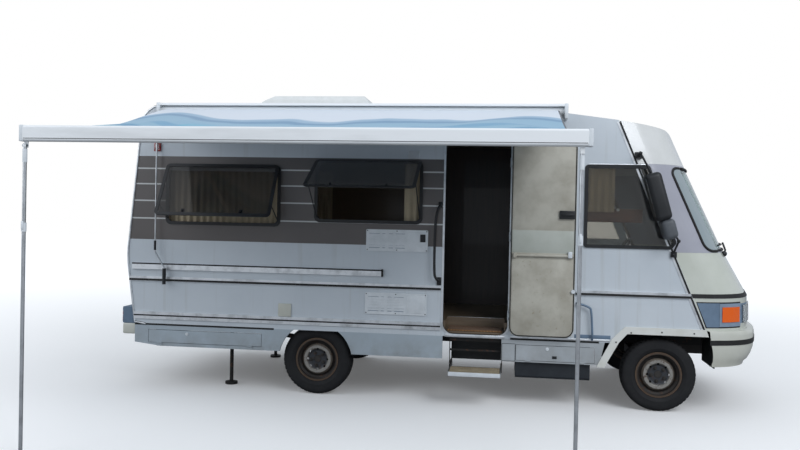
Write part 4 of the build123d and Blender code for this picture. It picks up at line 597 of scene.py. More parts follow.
def door_liner(name):
    """Stained plastic above, a newer strip, scuffs below it, and wall paint on the outside."""
    finish, tree = new_finish(name)
    stains = add_node(tree, "MapRange", {0: cloud(tree, 210, 6.0), 1: 0.38, 2: 0.72})
    upper = add_node(tree, "MixRGB", {0: stains, 1: tint("#bcb9ac"), 2: tint("#a19c8e")})
    height = part_of(tree, "Z")
    strip = between(tree, height, *LINER_STRIP)
    newer = add_node(tree, "MixRGB", {0: stains, 1: tint("#b6bab1"), 2: tint("#a9ada3")})
    colour = add_node(tree, "MixRGB", {0: strip, 1: upper, 2: newer})
    scuffs = add_node(tree, "MapRange", {0: cloud(tree, 30, 6.0), 1: 0.62, 2: 0.72})
    low = between(tree, height, LINER_FOOT, LINER_STRIP[0])
    worn = add_node(tree, "Math", {0: scuffs, 1: low}, operation="MULTIPLY")
    worn = add_node(tree, "Math", {0: worn, 1: 0.6}, operation="MULTIPLY")
    colour = add_node(tree, "MixRGB", {0: worn, 1: colour, 2: tint("#8d816a")})
    start, end = (place(0, y, 0).y for y in DOOR_SKIN_MM)
    outside = add_node(tree, "MapRange", {0: part_of(tree, "Y"), 1: start, 2: end})
    colour = add_node(tree, "MixRGB", {0: outside, 1: colour, 2: tint("#cdd4d9")})
    grain = cloud(tree, 5, 3.0)
    grain = add_node(tree, "Bump", {"Height": grain, "Distance": 0.0004, "Strength": 0.5})
    close_finish(tree, {"Base Color": colour, "Roughness": 0.55, "IOR": 1.49, "Normal": grain})
    return finish


cabinet_veneer = veneer("brown_veneer", "#2c1d14", "#1f140b")
locker_veneer = veneer("locker_veneer", "#6d4229", "#55301c", (0.06, 1, 1))
floor_lino = veneer("sheet_floor", "#7a6a58", "#655643", (0.06, 1, 1))
seat_weave = woven_cloth("seat_weave", "#4d5058", "#6a6d74")
curtain_weave = woven_cloth("curtain_weave", "#a89c84", "#c4b99f", 2.5, 0.15)
bench_weave = woven_cloth("bench_weave", "#6f5b49", "#8b7460")
liner = door_liner("stained_door_liner")
print("materials after the interior:", len(bpy.data.materials))

# %% [markdown]
# ## The finishes go on
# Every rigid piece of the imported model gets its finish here, by name. The table reads as a parts
# list: what it is, and what it is made of.

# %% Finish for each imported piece
FINISHES = {
    "side_wall_left": wall_paint, "side_wall_right": wall_paint, "roof_panel": roof_paint,
    "rear_wall": roof_paint, "driver_door": door_paint, "skirts": skirt_paint,
    "flap_right_front": skirt_paint, "flap_right_rear": skirt_paint,
    "front_dome": dome_gel, "nose_panel": nose_gel, "windscreen_surround": post_paint,
    "bumpers": bumper_gel, "front_grille": grille_plastic, "lamps": grille_plastic,
    "windscreen": screen_glass, "window_panes": tinted_pane, "driver_door_pane": cab_glass,
    "window_frames": dark_frame, "mirrors": dark_plastic, "dashboard": dark_plastic,
    "side_trims": trim_finish, "step_tread": step_aluminium,
    "fridge_vents": white_plastic, "hatch_frame": white_plastic, "hatch_lid": hatch_plastic,
    "entry_door": liner, "furniture": cabinet_veneer, "floor_panel": floor_lino,
    "awning_case": awning_white, "awning_lead_rail": awning_white, "awning_crank": leg_aluminium,
    "chassis_frame": chassis_black, "outriggers": chassis_black, "rear_axle": chassis_black,
    "front_axle": chassis_black, "knuckle_left": chassis_black, "knuckle_right": chassis_black,
    "steady_left": chassis_black, "steady_right": chassis_black, "step_frame": chassis_black,
    "engine_block": iron, "tanks": tank_plastic,
    "seats": seat_weave, "curtains": curtain_weave, "awning_cloth": awning_white,
}
for side in ("left", "right"):
    for end in ("front", "rear"):
        FINISHES["wheel_" + end + "_" + side] = wheel_rust
        FINISHES["tyre_" + end + "_" + side] = tyre_rubber
for end in ("front", "rear"):
    for piece_name in ("awning_upper_arm_", "awning_fore_arm_", "awning_leg_"):
        FINISHES[piece_name + end] = leg_aluminium
for name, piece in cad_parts.items():
    piece.data.materials.clear()
    piece.data.materials.append(FINISHES[name])
print("finishes given:", len(FINISHES))

# %% [markdown]
# ## Hand tools for new pieces
# New pieces start as a primitive and are shaped in edit mode. An operator works on all that is
# selected, so each helper first clears the selection and then picks faces or edges by where they
# are and which way they face.

# %% Selecting, and the first block
def clear_selection():
    """Leaves edit mode, if need be, and selects nothing."""
    if bpy.context.object and bpy.context.object.mode != "OBJECT":
        bpy.ops.object.mode_set(mode="OBJECT")
    bpy.ops.object.select_all(action="DESELECT")


def take(piece):
    """Makes one piece the selected and active one."""
    clear_selection()
    piece.select_set(True)
    bpy.context.view_layer.objects.active = piece


def settle(piece):
    """Puts the piece's place into its mesh, so that its object sits at the origin."""
    take(piece)
    bpy.ops.object.transform_apply(location=True, rotation=True, scale=True)
    return piece


def block(name, x, y, z):
    """A cube stretched between (low, high) pairs given in the van's millimetres."""
    clear_selection()
    low = place(x[0], y[0], z[0])
    high = place(x[1], y[1], z[1])
    bpy.ops.mesh.primitive_cube_add(size=1, location=(low + high) / 2)
    piece = bpy.context.object
    piece.name = piece.data.name = name
    piece.scale = high - low
    return settle(piece)

# %% Picking, rounding and softening
def pick(piece, kind, test):
    """Opens edit mode with only the faces or edges selected that pass a test on middle and direction."""
    take(piece)
    mesh = piece.data
    for group in (mesh.vertices, mesh.edges, mesh.polygons):
        group.foreach_set("select", [False] * len(group))
    if kind == "FACE":
        for face in mesh.polygons:
            face.select = bool(test(face.center, face.normal))
    else:
        for edge in mesh.edges:
            start, end = (mesh.vertices[i].co for i in edge.vertices)
            edge.select = bool(test((start + end) / 2, (end - start).normalized()))
    bpy.ops.object.mode_set(mode="EDIT")
    bpy.ops.mesh.select_mode(type=kind)


def done():
    """Leaves edit mode."""
    bpy.ops.object.mode_set(mode="OBJECT")


AXES = {"X": Vector((1, 0, 0)), "Y": Vector((0, 1, 0)), "Z": Vector((0, 0, 1))}


def round_corners(piece, axis, radius_mm, segments=6):
    """Rounds the edges that run along an axis."""
    pick(piece, "EDGE", lambda middle, way: abs(way.dot(AXES[axis])) > 0.99)
    bpy.ops.mesh.bevel(offset=radius_mm / 1000, segments=segments, affect="EDGES")
    done()
    return piece


def soften(piece, width_mm, segments=2, angle=35):
    """Breaks every sharp edge with a small bevel."""
    take(piece)
    bevel = piece.modifiers.new("edge", "BEVEL")
    bevel.width = width_mm / 1000
    bevel.segments = segments
    bevel.limit_method = "ANGLE"
    bevel.angle_limit = math.radians(angle)
    bpy.ops.object.modifier_apply(modifier=bevel.name)
    return piece


def soft_block(name, x, y, z, edge_mm, segments=2):
    """A block whose edges are broken."""
    return soften(block(name, x, y, z), edge_mm, segments)

# %% Recesses, rings and rods
def recess(piece, direction, rim_mm, depth_mm):
    """Sinks the middle of every face that looks one way; a negative depth raises it."""
    facing = Vector(direction)
    pick(piece, "FACE", lambda middle, normal: normal.dot(facing) > 0.99)
    bpy.ops.mesh.inset(thickness=rim_mm / 1000)
    bpy.ops.mesh.extrude_region_shrink_fatten(TRANSFORM_OT_shrink_fatten={"value": -depth_mm / 1000})
    done()
    return piece


def open_ring(piece, axis, rim_mm):
    """Turns a plate into a ring: both broad faces are inset and the middle is bridged away."""
    pick(piece, "FACE", lambda middle, normal: abs(normal.dot(AXES[axis])) > 0.99)
    bpy.ops.mesh.inset(thickness=rim_mm / 1000)
    bpy.ops.mesh.bridge_edge_loops()
    bpy.ops.mesh.select_all(action="SELECT")
    bpy.ops.mesh.normals_make_consistent(inside=False)
    done()
    return piece


def rod(name, points, radius_mm, sides=10, smooth=0, closed=False):
    """A round bar along points of the shared frame; smooth rounds its corners by subdividing."""
    curve = bpy.data.curves.new(name, "CURVE")
    curve.dimensions = "3D"
    curve.bevel_depth = radius_mm / 1000
    curve.bevel_resolution = max(1, sides // 4)
    curve.use_fill_caps = not closed
    spline = curve.splines.new("NURBS" if smooth else "POLY")
    spline.points.add(len(points) - 1)
    for control, point in zip(spline.points, points):
        control.co = (*point, 1.0)
    spline.use_cyclic_u = closed
    if smooth:
        spline.order_u = 3
        spline.use_endpoint_u = not closed
        spline.resolution_u = smooth
    piece = bpy.data.objects.new(name, curve)
    bpy.context.scene.collection.objects.link(piece)
    take(piece)
    bpy.ops.object.convert(target="MESH")
    return bpy.context.object

# %% Joining, mirroring and fitting
def join(name, pieces):
    """Makes one mesh of several."""
    clear_selection()
    for piece in pieces:
        piece.select_set(True)
    bpy.context.view_layer.objects.active = pieces[0]
    bpy.ops.object.join()
    made = bpy.context.object
    made.name = made.data.name = name
    return made


def mirror_copy(piece, name):
    """The same piece on the van's other side, its faces turned the right way out."""
    take(piece)
    bpy.ops.object.duplicate()
    twin = bpy.context.object
    twin.name = twin.data.name = name
    twin.data.transform(Matrix.Translation((0, 2 * MIDDLE_Y, 0)) @ Matrix.Scale(-1, 4, (0, 1, 0)))
    twin.data.flip_normals()
    return twin


def turned_about(point, degrees, axis):
    """The matrix that turns things about a point, round one axis."""
    turn = Matrix.Rotation(math.radians(degrees), 4, axis)
    return Matrix.Translation(point) @ turn @ Matrix.Translation(-point)


def fit(piece, body, finish, slot, angle=35):
    """Gives the piece its finish and lets it ride on its body."""
    take(piece)
    piece.data.materials.clear()
    piece.data.materials.append(finish)
    bpy.ops.object.shade_smooth_by_angle(angle=math.radians(angle))
    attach(piece, body)
    return piece


RIGHT = -HALF_WIDTH
LEFT = HALF_WIDTH

# %% [markdown]
# ## Sheets, bars, discs and skins
# Four more tools finish the set. A grid is bent into a sheet by a small function; a bar is a box
# stretched between two points; a disc is a short cylinder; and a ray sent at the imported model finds
# the true surface, so that rubber and lenses follow the moulded front exactly.

# %% Sheets
def grid(name, along, across, shape):
    """A sheet of faces whose points come from shape(s, t), with s and t going from 0 to 1."""
    clear_selection()
    bpy.ops.mesh.primitive_grid_add(x_subdivisions=along, y_subdivisions=across, size=2)
    piece = bpy.context.object
    piece.name = piece.data.name = name
    for vertex in piece.data.vertices:
        vertex.co = shape((vertex.co.x + 1) / 2, (vertex.co.y + 1) / 2)
    return piece


def thicken(piece, thickness_mm, offset=0):
    """Gives a sheet its thickness and turns all its faces outwards."""
    take(piece)
    solid = piece.modifiers.new("thickness", "SOLIDIFY")
    solid.thickness = thickness_mm / 1000
    solid.offset = offset
    bpy.ops.object.modifier_apply(modifier=solid.name)
    bpy.ops.object.mode_set(mode="EDIT")
    bpy.ops.mesh.select_all(action="SELECT")
    bpy.ops.mesh.normals_make_consistent(inside=False)
    done()
    return piece

# %% Bars, discs and balls
def bar(name, start, end, width_mm, thick_mm, across=(0, 0, 1)):
    """A flat bar between two points in the van's millimetres, its width lying towards across."""
    clear_selection()
    start, end, across = place(*start), place(*end), Vector(across)
    way = (end - start).normalized()
    across = (across - way * across.dot(way)).normalized()
    bpy.ops.mesh.primitive_cube_add(size=1)
    piece = bpy.context.object
    piece.name = piece.data.name = name
    turn = Matrix((way, across, way.cross(across))).transposed().to_4x4()
    size = Matrix.Diagonal(((end - start).length, width_mm / 1000, thick_mm / 1000, 1))
    piece.matrix_world = Matrix.Translation((start + end) / 2) @ turn @ size
    return settle(piece)


TURNS = {"X": (0, math.pi / 2, 0), "Y": (math.pi / 2, 0, 0), "Z": (0, 0, 0)}


def disc(name, centre, radius_mm, depth_mm, axis="Y", sides=24):
    """A short round bar along one axis, its centre in the van's millimetres."""
    clear_selection()
    bpy.ops.mesh.primitive_cylinder_add(vertices=sides, radius=radius_mm / 1000, depth=depth_mm / 1000,
                                        location=place(*centre), rotation=TURNS[axis])
    piece = bpy.context.object
    piece.name = piece.data.name = name
    return settle(piece)


def ball(name, centre, radius_mm):
    """A round knob, its centre in the van's millimetres."""
    clear_selection()
    bpy.ops.mesh.primitive_uv_sphere_add(segments=20, ring_count=12, radius=radius_mm / 1000,
                                         location=place(*centre))
    piece = bpy.context.object
    piece.name = piece.data.name = name
    return settle(piece)

# %% Rings, and points found by rays
def rounded_ring(name, x, z, y, corner_mm, rim_mm):
    """A flat ring with round corners, standing in the plane of a side wall."""
    return open_ring(round_corners(block(name, x, y, z), "Y", corner_mm), "Y", rim_mm)


def skin_of(*names):
    """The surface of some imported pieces, ready for rays."""
    points, faces = [], []
    for name in names:
        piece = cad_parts[name]
        start = len(points)
        points += [piece.matrix_world @ vertex.co for vertex in piece.data.vertices]
        faces += [[start + i for i in face.vertices] for face in piece.data.polygons]
    return BVHTree.FromPolygons(points, faces)


def meet(skin, start, way, lift_mm):
    """Where a ray meets a skin, lifted off the surface by a few millimetres."""
    spot, normal = skin.ray_cast(start, way)[:2]
    if normal.dot(way) > 0:
        normal = -normal
    return spot + normal * lift_mm / 1000


def follow(name, skin, angles, z, lift_mm, thick_mm, steps=48, rows=2, slant=0.0):
    """A strip on the moulded front, between two angles seen from above and two heights.

    The slant moves the upper end of its first edge by some degrees."""
    middle = place(100, 0, 0)

    def shape(s, t):
        angle = math.radians(angles[0] + (angles[1] - angles[0]) * s + slant * t * (1 - s))
        height = (z[0] + (z[1] - z[0]) * t) / 1000
        way = Vector((math.cos(angle), math.sin(angle), 0))
        start = Vector((middle.x, middle.y, height)) + way * 2
        return meet(skin, start, -way, lift_mm)
    return thicken(grid(name, steps, rows, shape), thick_mm)


def rounded_path(y, z, corner, steps=6):
    """Points round a rectangle with round corners, as (across, height) in millimetres."""
    points = []
    corners = ((y[1] - corner, z[1] - corner, 0), (y[0] + corner, z[1] - corner, 90),
               (y[0] + corner, z[0] + corner, 180), (y[1] - corner, z[0] + corner, 270))
    for across, height, first in corners:
        for step in range(steps + 1):
            angle = math.radians(first + 90 * step / steps)
            points.append((across + corner * math.cos(angle), height + corner * math.sin(angle)))
    return points


# %% [markdown]
# ## The awning cloth
# The cloth is stretched between the roller and the lead rail and sags between the two pairs of arms,
# which carry it from below. Its print is white near the case and turns to wavy blue towards the rail.

# %% Shape of the cloth
CLOTH_X = (-4567.0, -927.0)
CLOTH_CASE = (-1176.3, 2643.0)
CLOTH_RAIL = (-3262.8, 2237.0)
ARM_SHOULDERS = (-4472.0, -1022.0)
ARM_IN = 449.3


SAG_PLAIN, SAG_MORE, SAG_REACH = 22.0, 55.0, 350.0


def cloth_point(s, t):
    """A point of the stretched sheet: it sags least beside the arms that carry it."""
    x = CLOTH_X[0] + (CLOTH_X[1] - CLOTH_X[0]) * s
    y = CLOTH_CASE[0] + (CLOTH_RAIL[0] - CLOTH_CASE[0]) * t
    z = CLOTH_CASE[1] + (CLOTH_RAIL[1] - CLOTH_CASE[1]) * t
    bend = ARM_IN * (1 - abs(2 * t - 1))
    near = min(abs(x - ARM_SHOULDERS[0] - bend), abs(x - ARM_SHOULDERS[1] + bend))
    sag = 4 * t * (1 - t) * (SAG_PLAIN + SAG_MORE * (1 - math.exp(-(near / SAG_REACH) ** 2)))
    return place(x, y, z - sag)

# %% Print and cloth
PRINT_BANDS = (
    # share of the way from the rail to the case, and the blue from there down to the next
    (0.80, "#93b4cc"), (0.74, "#6592b4"), (0.68, "#86b0c8"), (0.52, "#639dbe"), (0.42, "#7dacc4"),
    (0.30, "#4c90b4"), (0.20, "#74aec2"), (0.10, "#3f88ae"),
)
BOUND_EDGE_MM = 14


def awning_print(name):
    """White cloth with wavy blue bands that follow the rail, and a dark bound edge at its front end."""
    finish, tree = new_finish(name)
    rail_side = place(0, CLOTH_RAIL[0], 0).y
    case_side = place(0, CLOTH_CASE[0], 0).y
    along = add_node(tree, "MapRange", {0: part_of(tree, "Y"), 1: rail_side, 2: case_side})
    swell = cloud(tree, 900, 1.5, (1, 0.4, 1))
    waves = add_node(tree, "Math", {0: swell, 1: 0.5, 2: -0.25}, operation="MULTIPLY_ADD")
    level = add_node(tree, "Math", {0: along, 1: waves}, operation="ADD")
    colour = tint("#dbe2ea")
    for top, hex_value in PRINT_BANDS:
        under = add_node(tree, "MapRange", {0: level, 1: top, 2: top - 0.03})
        colour = add_node(tree, "MixRGB", {0: under, 1: colour, 2: tint(hex_value)})
    patch = add_node(tree, "MapRange", {0: cloud(tree, 420, 2.0, (1, 0.5, 1)), 1: 0.60, 2: 0.66})
    near = add_node(tree, "MapRange", {0: along, 1: 0.5, 2: 0.3})
    patch = add_node(tree, "Math", {0: patch, 1: near}, operation="MULTIPLY")
    colour = add_node(tree, "MixRGB", {0: patch, 1: colour, 2: tint("#3fb0c8")})
    bound = place(CLOTH_X[1] - BOUND_EDGE_MM, 0, 0).x
    edge = add_node(tree, "Math", {0: part_of(tree, "X"), 1: bound}, operation="GREATER_THAN")
    colour = add_node(tree, "MixRGB", {0: edge, 1: colour, 2: tint("#4a5058")})
    threads = cloud(tree, 2.5, 2.0)
    threads = add_node(tree, "Bump", {"Height": threads, "Distance": 0.0002, "Strength": 0.4})
    close_finish(tree, {"Base Color": colour, "Roughness": 0.6, "Sheen Weight": 0.2, "Normal": threads})
    return finish


awning_cloth = thicken(grid("awning_cloth_sheet", 60, 40, cloth_point), 1.5)
fit(awning_cloth, "van", awning_print("awning_print"), "awning_fabric", 60)
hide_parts("awning_cloth")
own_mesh(awning_cloth)
print("awning cloth faces:", len(awning_cloth.data.polygons))

# %% [markdown]
# ## Curtains
# Cotton curtains hang gathered inside the windows. They could be draped by a cloth simulation, but a
# wave along the rod gives the folds at once, and their cut width can be measured along it.

# %% Curtains
CURTAINS = (
    # name, x low, x high, z low, z high, side
    ("curtain_right_rear", -4600.0, -3440.0, 1510.0, 2185.0, -1),
    ("curtain_right_middle", -2300.0, -2070.0, 1600.0, 2240.0, -1),
    ("curtain_left_rear", -4600.0, -3440.0, 1510.0, 2185.0, 1),
    ("curtain_cab", -700.0, -420.0, 1760.0, 2225.0, -1),
)
FOLD_MM = 62.0
FOLD_DEPTH = 9.0
CURTAIN_Y = 1055.0


def hanging(x_low, width, z_low, height, side):
    """The shape of one curtain: folds that wander a little and open towards the foot."""
    def shape(s, t):
        x = x_low + width * s
        wander = 0.6 * math.sin(x / 190 + 2.0 * t)
        fold = math.sin(2 * math.pi * x / FOLD_MM + wander) * FOLD_DEPTH * (1 - 0.35 * t)
        return place(x, side * CURTAIN_Y + fold, z_low + height * t)
    return shape


for name, x_low, x_high, z_low, z_high, side in CURTAINS:
    width, height = x_high - x_low, z_high - z_low
    hang = hanging(x_low, width, z_low, height, side)
    folds = int(width / FOLD_MM * 10)
    row = [hang(k / folds, 0.5) for k in range(folds + 1)]
    cut_width = sum((b - a).length for a, b in zip(row, row[1:]))
    curtain = thicken(grid(name, folds, 8, hang), 1.0)
    fit(curtain, "van", curtain_weave, "curtain_cloth", 60)
    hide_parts("curtains")
print("curtains:", len(CURTAINS))

# %% [markdown]
# ## Seats and cushions
# Two cab seats stand on boxed pedestals, and long cushions lie on the benches at the back. A cushion
# starts as a block; its edges are rounded deeply, and its broad faces are puffed up in the middle.

# %% One cushion
def cushion(name, x, y, z, round_mm, puff_mm, finish, turn_deg=0.0):
    """A stuffed block; turn_deg leans it back about its own middle."""
    piece = soft_block(name, x, y, z, round_mm, 5)
    pick(piece, "FACE", lambda middle, normal: max(abs(c) for c in normal) > 0.999)
    bpy.ops.mesh.subdivide(number_cuts=7)
    done()
    middle = place(*(sum(pair) / 2 for pair in (x, y, z)))
    half = Vector((x[1] - x[0], y[1] - y[0], z[1] - z[0])) / 2000
    for vertex in piece.data.vertices:
        offset = vertex.co - middle
        share = [1 - (offset[i] / half[i]) ** 2 for i in range(3)]
        for i in range(3):
            swell = puff_mm / 1000 * max(0, share[(i + 1) % 3]) * max(0, share[(i + 2) % 3])
            offset[i] += swell * offset[i] / half[i]
        vertex.co = middle + offset
    if turn_deg:
        piece.data.transform(turned_about(middle, turn_deg, "Y"))
    fit(piece, "van", finish, "seat_fabric", 60)
    return piece

# %% Seats and benches
SEAT_Y = 520.0
BACK_LEAN = -12
for side, word in ((-1, "right"), (1, "left")):
    y = side * SEAT_Y
    seat = cushion("seat_cushion_" + word, (-760, -270), (y - 235, y + 235), (1092, 1210),
                   34, 12, seat_weave)
    back = cushion("seat_back_" + word, (-865, -735), (y - 228, y + 228), (1185, 1800),
                   40, 10, seat_weave, BACK_LEAN)
    head = cushion("head_rest_" + word, (-950, -855), (y - 130, y + 130), (1790, 1935),
                   34, 8, seat_weave, BACK_LEAN)
    pedestal = soft_block("seat_pedestal_" + word, (-700, -350), (y - 180, y + 180), (741, 1091), 8)
    path = [place(a, b, 1152) for a, b in rounded_path((-764, -266), (y - 239, y + 239), 40, 4)]
    piping = rod("seat_piping_" + word, path, 4, 6, closed=True)
    rods = [rod("rest_bar", [place(-880, y + a, 1760), place(-905, y + a, 1850)], 6) for a in (-60, 60)]
    fittings = join("seat_fittings_" + word, [piping] + rods)
    fit(pedestal, "van", dark_plastic, "dark_plastic")
    fit(fittings, "van", dark_plastic, "dark_plastic")
    for piece in (seat, back, head, pedestal, fittings):
        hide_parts("seats")
BENCHES = (("right", -4690.0, -3160.0, -1060.0, -470.0), ("left", -4690.0, -2420.0, 470.0, 1060.0))
for word, x_low, x_high, y_low, y_high in BENCHES:
    middle = (x_low + x_high) / 2
    for end, x in (("rear", (x_low, middle - 4)), ("fore", (middle + 4, x_high))):
        cushion("bench_cushion_%s_%s" % (word, end), x, (y_low, y_high), (1181, 1285),
                30, 8, bench_weave)
print("padded pieces:", 6 + 2 * len(BENCHES))

# %% [markdown]
# ## Tyres
# Each tyre is one profile turned about the axle. The tread's four grooves are in the profile; the
# cuts across the shoulders are faces picked by their angle and sunk. The side carries plain ribs only.

# %% One tyre
WHEEL_Y = 945.0
TREAD_STEPS = 144
SHOULDER_FROM = 312
SHOULDER_WIDTH = (47.5, 84)
SHOULDER_DEPTH = 6
TYRE_PROFILE = (
    # out from the tyre's middle, radius, for one half from the bead to the middle groove
    (72.2, 189), (72.2, 200), (78, 207), (86, 216), (93, 229), (95.5, 236), (96.8, 237), (96.8, 242),
    (95.8, 243), (95.8, 252), (95.0, 272), (93.8, 291), (90, 300), (84, 310), (76, 318.5), (60, 323.6),
    (47, 324.8), (45.5, 317), (39.5, 317), (38, 325), (12, 325), (10.8, 317), (5, 317), (3.5, 325),
)


def make_tyre(name, x, side):
    """Turns the profile round the axle and sinks the shoulder cuts."""
    half = [(side * a, r) for a, r in TYRE_PROFILE]
    profile = half + [(-a, r) for a, r in reversed(half)]
    centre = place(x, side * WHEEL_Y, TYRE_RADIUS)
    turned = len(profile) - 1

    def shape(s, t):
        across, radius = profile[round(s * turned)]
        angle = 2 * math.pi * t
        return centre + Vector((radius * math.sin(angle), across, -radius * math.cos(angle))) / 1000
    tyre = grid(name, turned, TREAD_STEPS, shape)
    pick(tyre, "FACE", lambda middle, normal: True)
    bpy.ops.mesh.remove_doubles(threshold=0.00001)
    bpy.ops.mesh.normals_make_consistent(inside=False)
    done()

    def cut(middle, normal):
        away = (middle - centre) * 1000
        step = int((math.atan2(away.x, away.z) / (2 * math.pi) + 0.5) * TREAD_STEPS + 1e-6)
        on_shoulder = SHOULDER_WIDTH[0] < abs(away.y) < SHOULDER_WIDTH[1]
        return math.hypot(away.x, away.z) > SHOULDER_FROM and on_shoulder and step % 3 == 0
    pick(tyre, "FACE", cut)
    bpy.ops.mesh.extrude_region_shrink_fatten(TRANSFORM_OT_shrink_fatten={"value": -SHOULDER_DEPTH / 1000})
    done()
    return tyre

# %% Wheel nuts, and all four wheels
NUT_CIRCLE = 61.0
NUT_FIRST = 42.7
HUB_FACE = 46.0


def make_nuts(name, x, side):
    """Five wheel nuts on their seats round a small dust cap."""
    face = side * (WHEEL_Y + HUB_FACE)
    parts = [disc("dust_cap", (x, face - side * 2, TYRE_RADIUS), 31, 7, sides=32)]
    for index in range(5):
        angle = math.radians(NUT_FIRST + 72 * index)
        spot_x, spot_z = x + NUT_CIRCLE * math.cos(angle), TYRE_RADIUS + NUT_CIRCLE * math.sin(angle)
        parts.append(disc("nut_seat", (spot_x, face + side * 1.5, spot_z), 17, 3))
        parts.append(disc("nut", (spot_x, face + side * 9, spot_z), 12.5, 14, sides=6))
        parts.append(disc("stud", (spot_x, face + side * 18, spot_z), 6, 8, sides=12))
    return soften(join(name, parts), 1.2, 1)


for end, x in AXLES.items():
    for side, word in ((-1, "right"), (1, "left")):
        body = "wheel_" + end + "_" + word
        tyre = make_tyre("grooved_tyre_" + end + "_" + word, x, side)
        fit(tyre, body, tyre_rubber, "tyre_rubber", 30)
        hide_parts("tyre_" + end + "_" + word)
        fit(make_nuts("wheel_nuts_" + end + "_" + word, x, side), body, iron, "wheel_steel")
print("tyre faces each:", len(tyre.data.polygons))

# %% [markdown]
# ## Seals and trims on the walls
# Aluminium strips cover the joints of the sheet, and most carry a black rubber insert. Two round
# rods, one of aluminium and one of rubber, follow the outline of each side wall, which rays find.
# All of them are real shapes, because a painted line has no edge to catch the light.

# %% Doorway
def ride_all(name, pieces, body, finish, slot, angle=35):
    """Joins some pieces and fits them as one."""
    return fit(join(name, pieces), body, finish, slot, angle)


DOOR_HOLE_X, DOOR_HOLE_Z = (-1920.0, -1337.0), (628.0, 2414.0)
door_trim = rounded_ring("doorway_trim", (DOOR_HOLE_X[0] - 18, DOOR_HOLE_X[1] + 19),
                         (DOOR_HOLE_Z[0] - 18, DOOR_HOLE_Z[1] + 18), (RIGHT - 4, RIGHT), 112, 18)
sill_plate = soft_block("sill_plate", (-1900, -1360), (RIGHT - 8, RIGHT), (600, 627), 2)
floor_edge = soft_block("floor_edge", (-1902, -1367), (-743, -736), (722, 742), 2)
ride_all("doorway_trims", [door_trim, sill_plate, floor_edge], "van", strip_aluminium, "trim_strip")
door_seal = rounded_ring("doorway_seal", DOOR_HOLE_X, DOOR_HOLE_Z, (RIGHT + 6, RIGHT + 30), 94, 2)
fit(door_seal, "van", seal_rubber, "dark_plastic")
grey_band = soft_block("sill_band", (-745, -432), (RIGHT - 4, RIGHT), (636, 668), 1.5)
fit(grey_band, "van", grille_plastic, "surround_grey")
sill_strip = soft_block("sill_strip", (-1310, -438), (RIGHT - 5, RIGHT), (613, 631), 1.5)
fit(sill_strip, "van", strip_aluminium, "trim_strip")
print("doorway trims done")

# %% Rubber inserts of the rails
RAIL_INSERTS = (
    # x low, x high, proud, z low, z high
    (-4900, -2480, 20, 1177, 1190), (-4930, -1942, 14, 1020, 1040), (-745, 240, 14, 1020, 1040),
    (-4880, -1942, 12, 684, 697), (-4870, -3500, 1, 596, 612), (-1310, -530, 1, 596, 612),
)
inserts = [block("rail_insert", (a, b), (RIGHT - proud - 2, RIGHT - proud + 1), (low, high))
           for a, b, proud, low, high in RAIL_INSERTS]
inserts.append(block("rail_end", (-2492, -2476), (RIGHT - 22, RIGHT), (1126, 1194)))
for a, b, proud, low, high in ((-4930, -705, 14, 1020, 1040), (-4880, -545, 12, 684, 697)):
    inserts.append(block("rail_insert", (a, b), (LEFT + proud - 1, LEFT + proud + 2), (low, high)))
ride_all("rail_inserts", inserts, "van", seal_rubber, "trim_strip")
print("rail inserts:", len(inserts))

# %% Seams, and rods along the edges
SEAM_TOP, SEAM_FOOT = (-404.0, 2560.0), (361.0, 732.0)
SEAM_END = place(SEAM_TOP[0], 0, SEAM_TOP[1])
# The outline is swept by a ray, in degrees, from behind the van over the roof to the seam
SWEEP_X, SWEEP_Y, SWEEP_Z = -2300, 1088, 1550
SWEEP_FROM, SWEEP_TO, SWEEP_STEPS, ROOF_STEPS = 201, 40, 140, 100
EDGE_RODS = (
    # name, out from the outline, radius, finish
    ("edge_strip_", 2, 9, strip_aluminium), ("edge_rubber_", 9, 4, seal_rubber),
)
for side, word in ((-1, "right"), (1, "left")):
    y = side * (HALF_WIDTH + 1)
    ends = [(x, y, z) for x, z in (SEAM_TOP, SEAM_FOOT)]
    fit(bar("seam_strip_" + word, *ends, 36, 6, (1, 0, 0)), "van", strip_aluminium, "trim_strip")
    inner = [(x + 8, y, z) for x, y, z in ends]
    fit(bar("seam_insert_" + word, *inner, 16, 11, (1, 0, 0)), "van", seal_rubber, "trim_strip")
    skin = skin_of("side_wall_" + word)
    outline = []
    for step in range(SWEEP_STEPS + 1):
        angle = math.radians(SWEEP_FROM - (SWEEP_FROM - SWEEP_TO) * step / SWEEP_STEPS)
        way = Vector((math.cos(angle), 0, math.sin(angle)))
        spot = meet(skin, place(SWEEP_X, side * SWEEP_Y, SWEEP_Z) + way * 6, -way, 0)
        if spot.z < SEAM_END.z or step < ROOF_STEPS or spot.x < SEAM_END.x:
            outline.append(spot)
    for name, lift, radius, finish in EDGE_RODS:
        path = [Vector((p.x, place(0, y, 0).y + side * 0.0005, p.z + lift / 1000)) for p in outline]
        fit(rod(name + word, path, radius, 10), "van", finish, "trim_strip", 60)
print("points along one edge rod:", len(outline))

# %% Trim screws
VENTS_Z = ((1362, 1560), (782, 980))
SCREWS = ((-385, 614), (-257, 702), (4, 716), (276, 716))
screws = [disc("arch_screw", (x, side * (HALF_WIDTH + 15), z), 7, 3, sides=12)
          for side in (-1, 1) for x, z in SCREWS]
for z_low, z_high in VENTS_Z:
    screws += [disc("vent_screw", (x, RIGHT - 11, z), 5, 2, sides=10)
               for x in (-2628, -2355, -2082) for z in (z_low + 12, z_high - 12)]
ride_all("trim_screws", screws, "van", dark_plastic, "trim_strip")
print("trim screws:", len(screws))

# %% [markdown]
# ## Small fittings on the right wall
# A black grab rail and the door's stay beside the doorway, locks on the flaps, slots and lids of the
# vents, the cover of an inlet, a louvre and a marker lamp under the awning. Blocks, discs and rods
# with broken edges are enough for them, and those of one kind are joined to one piece.

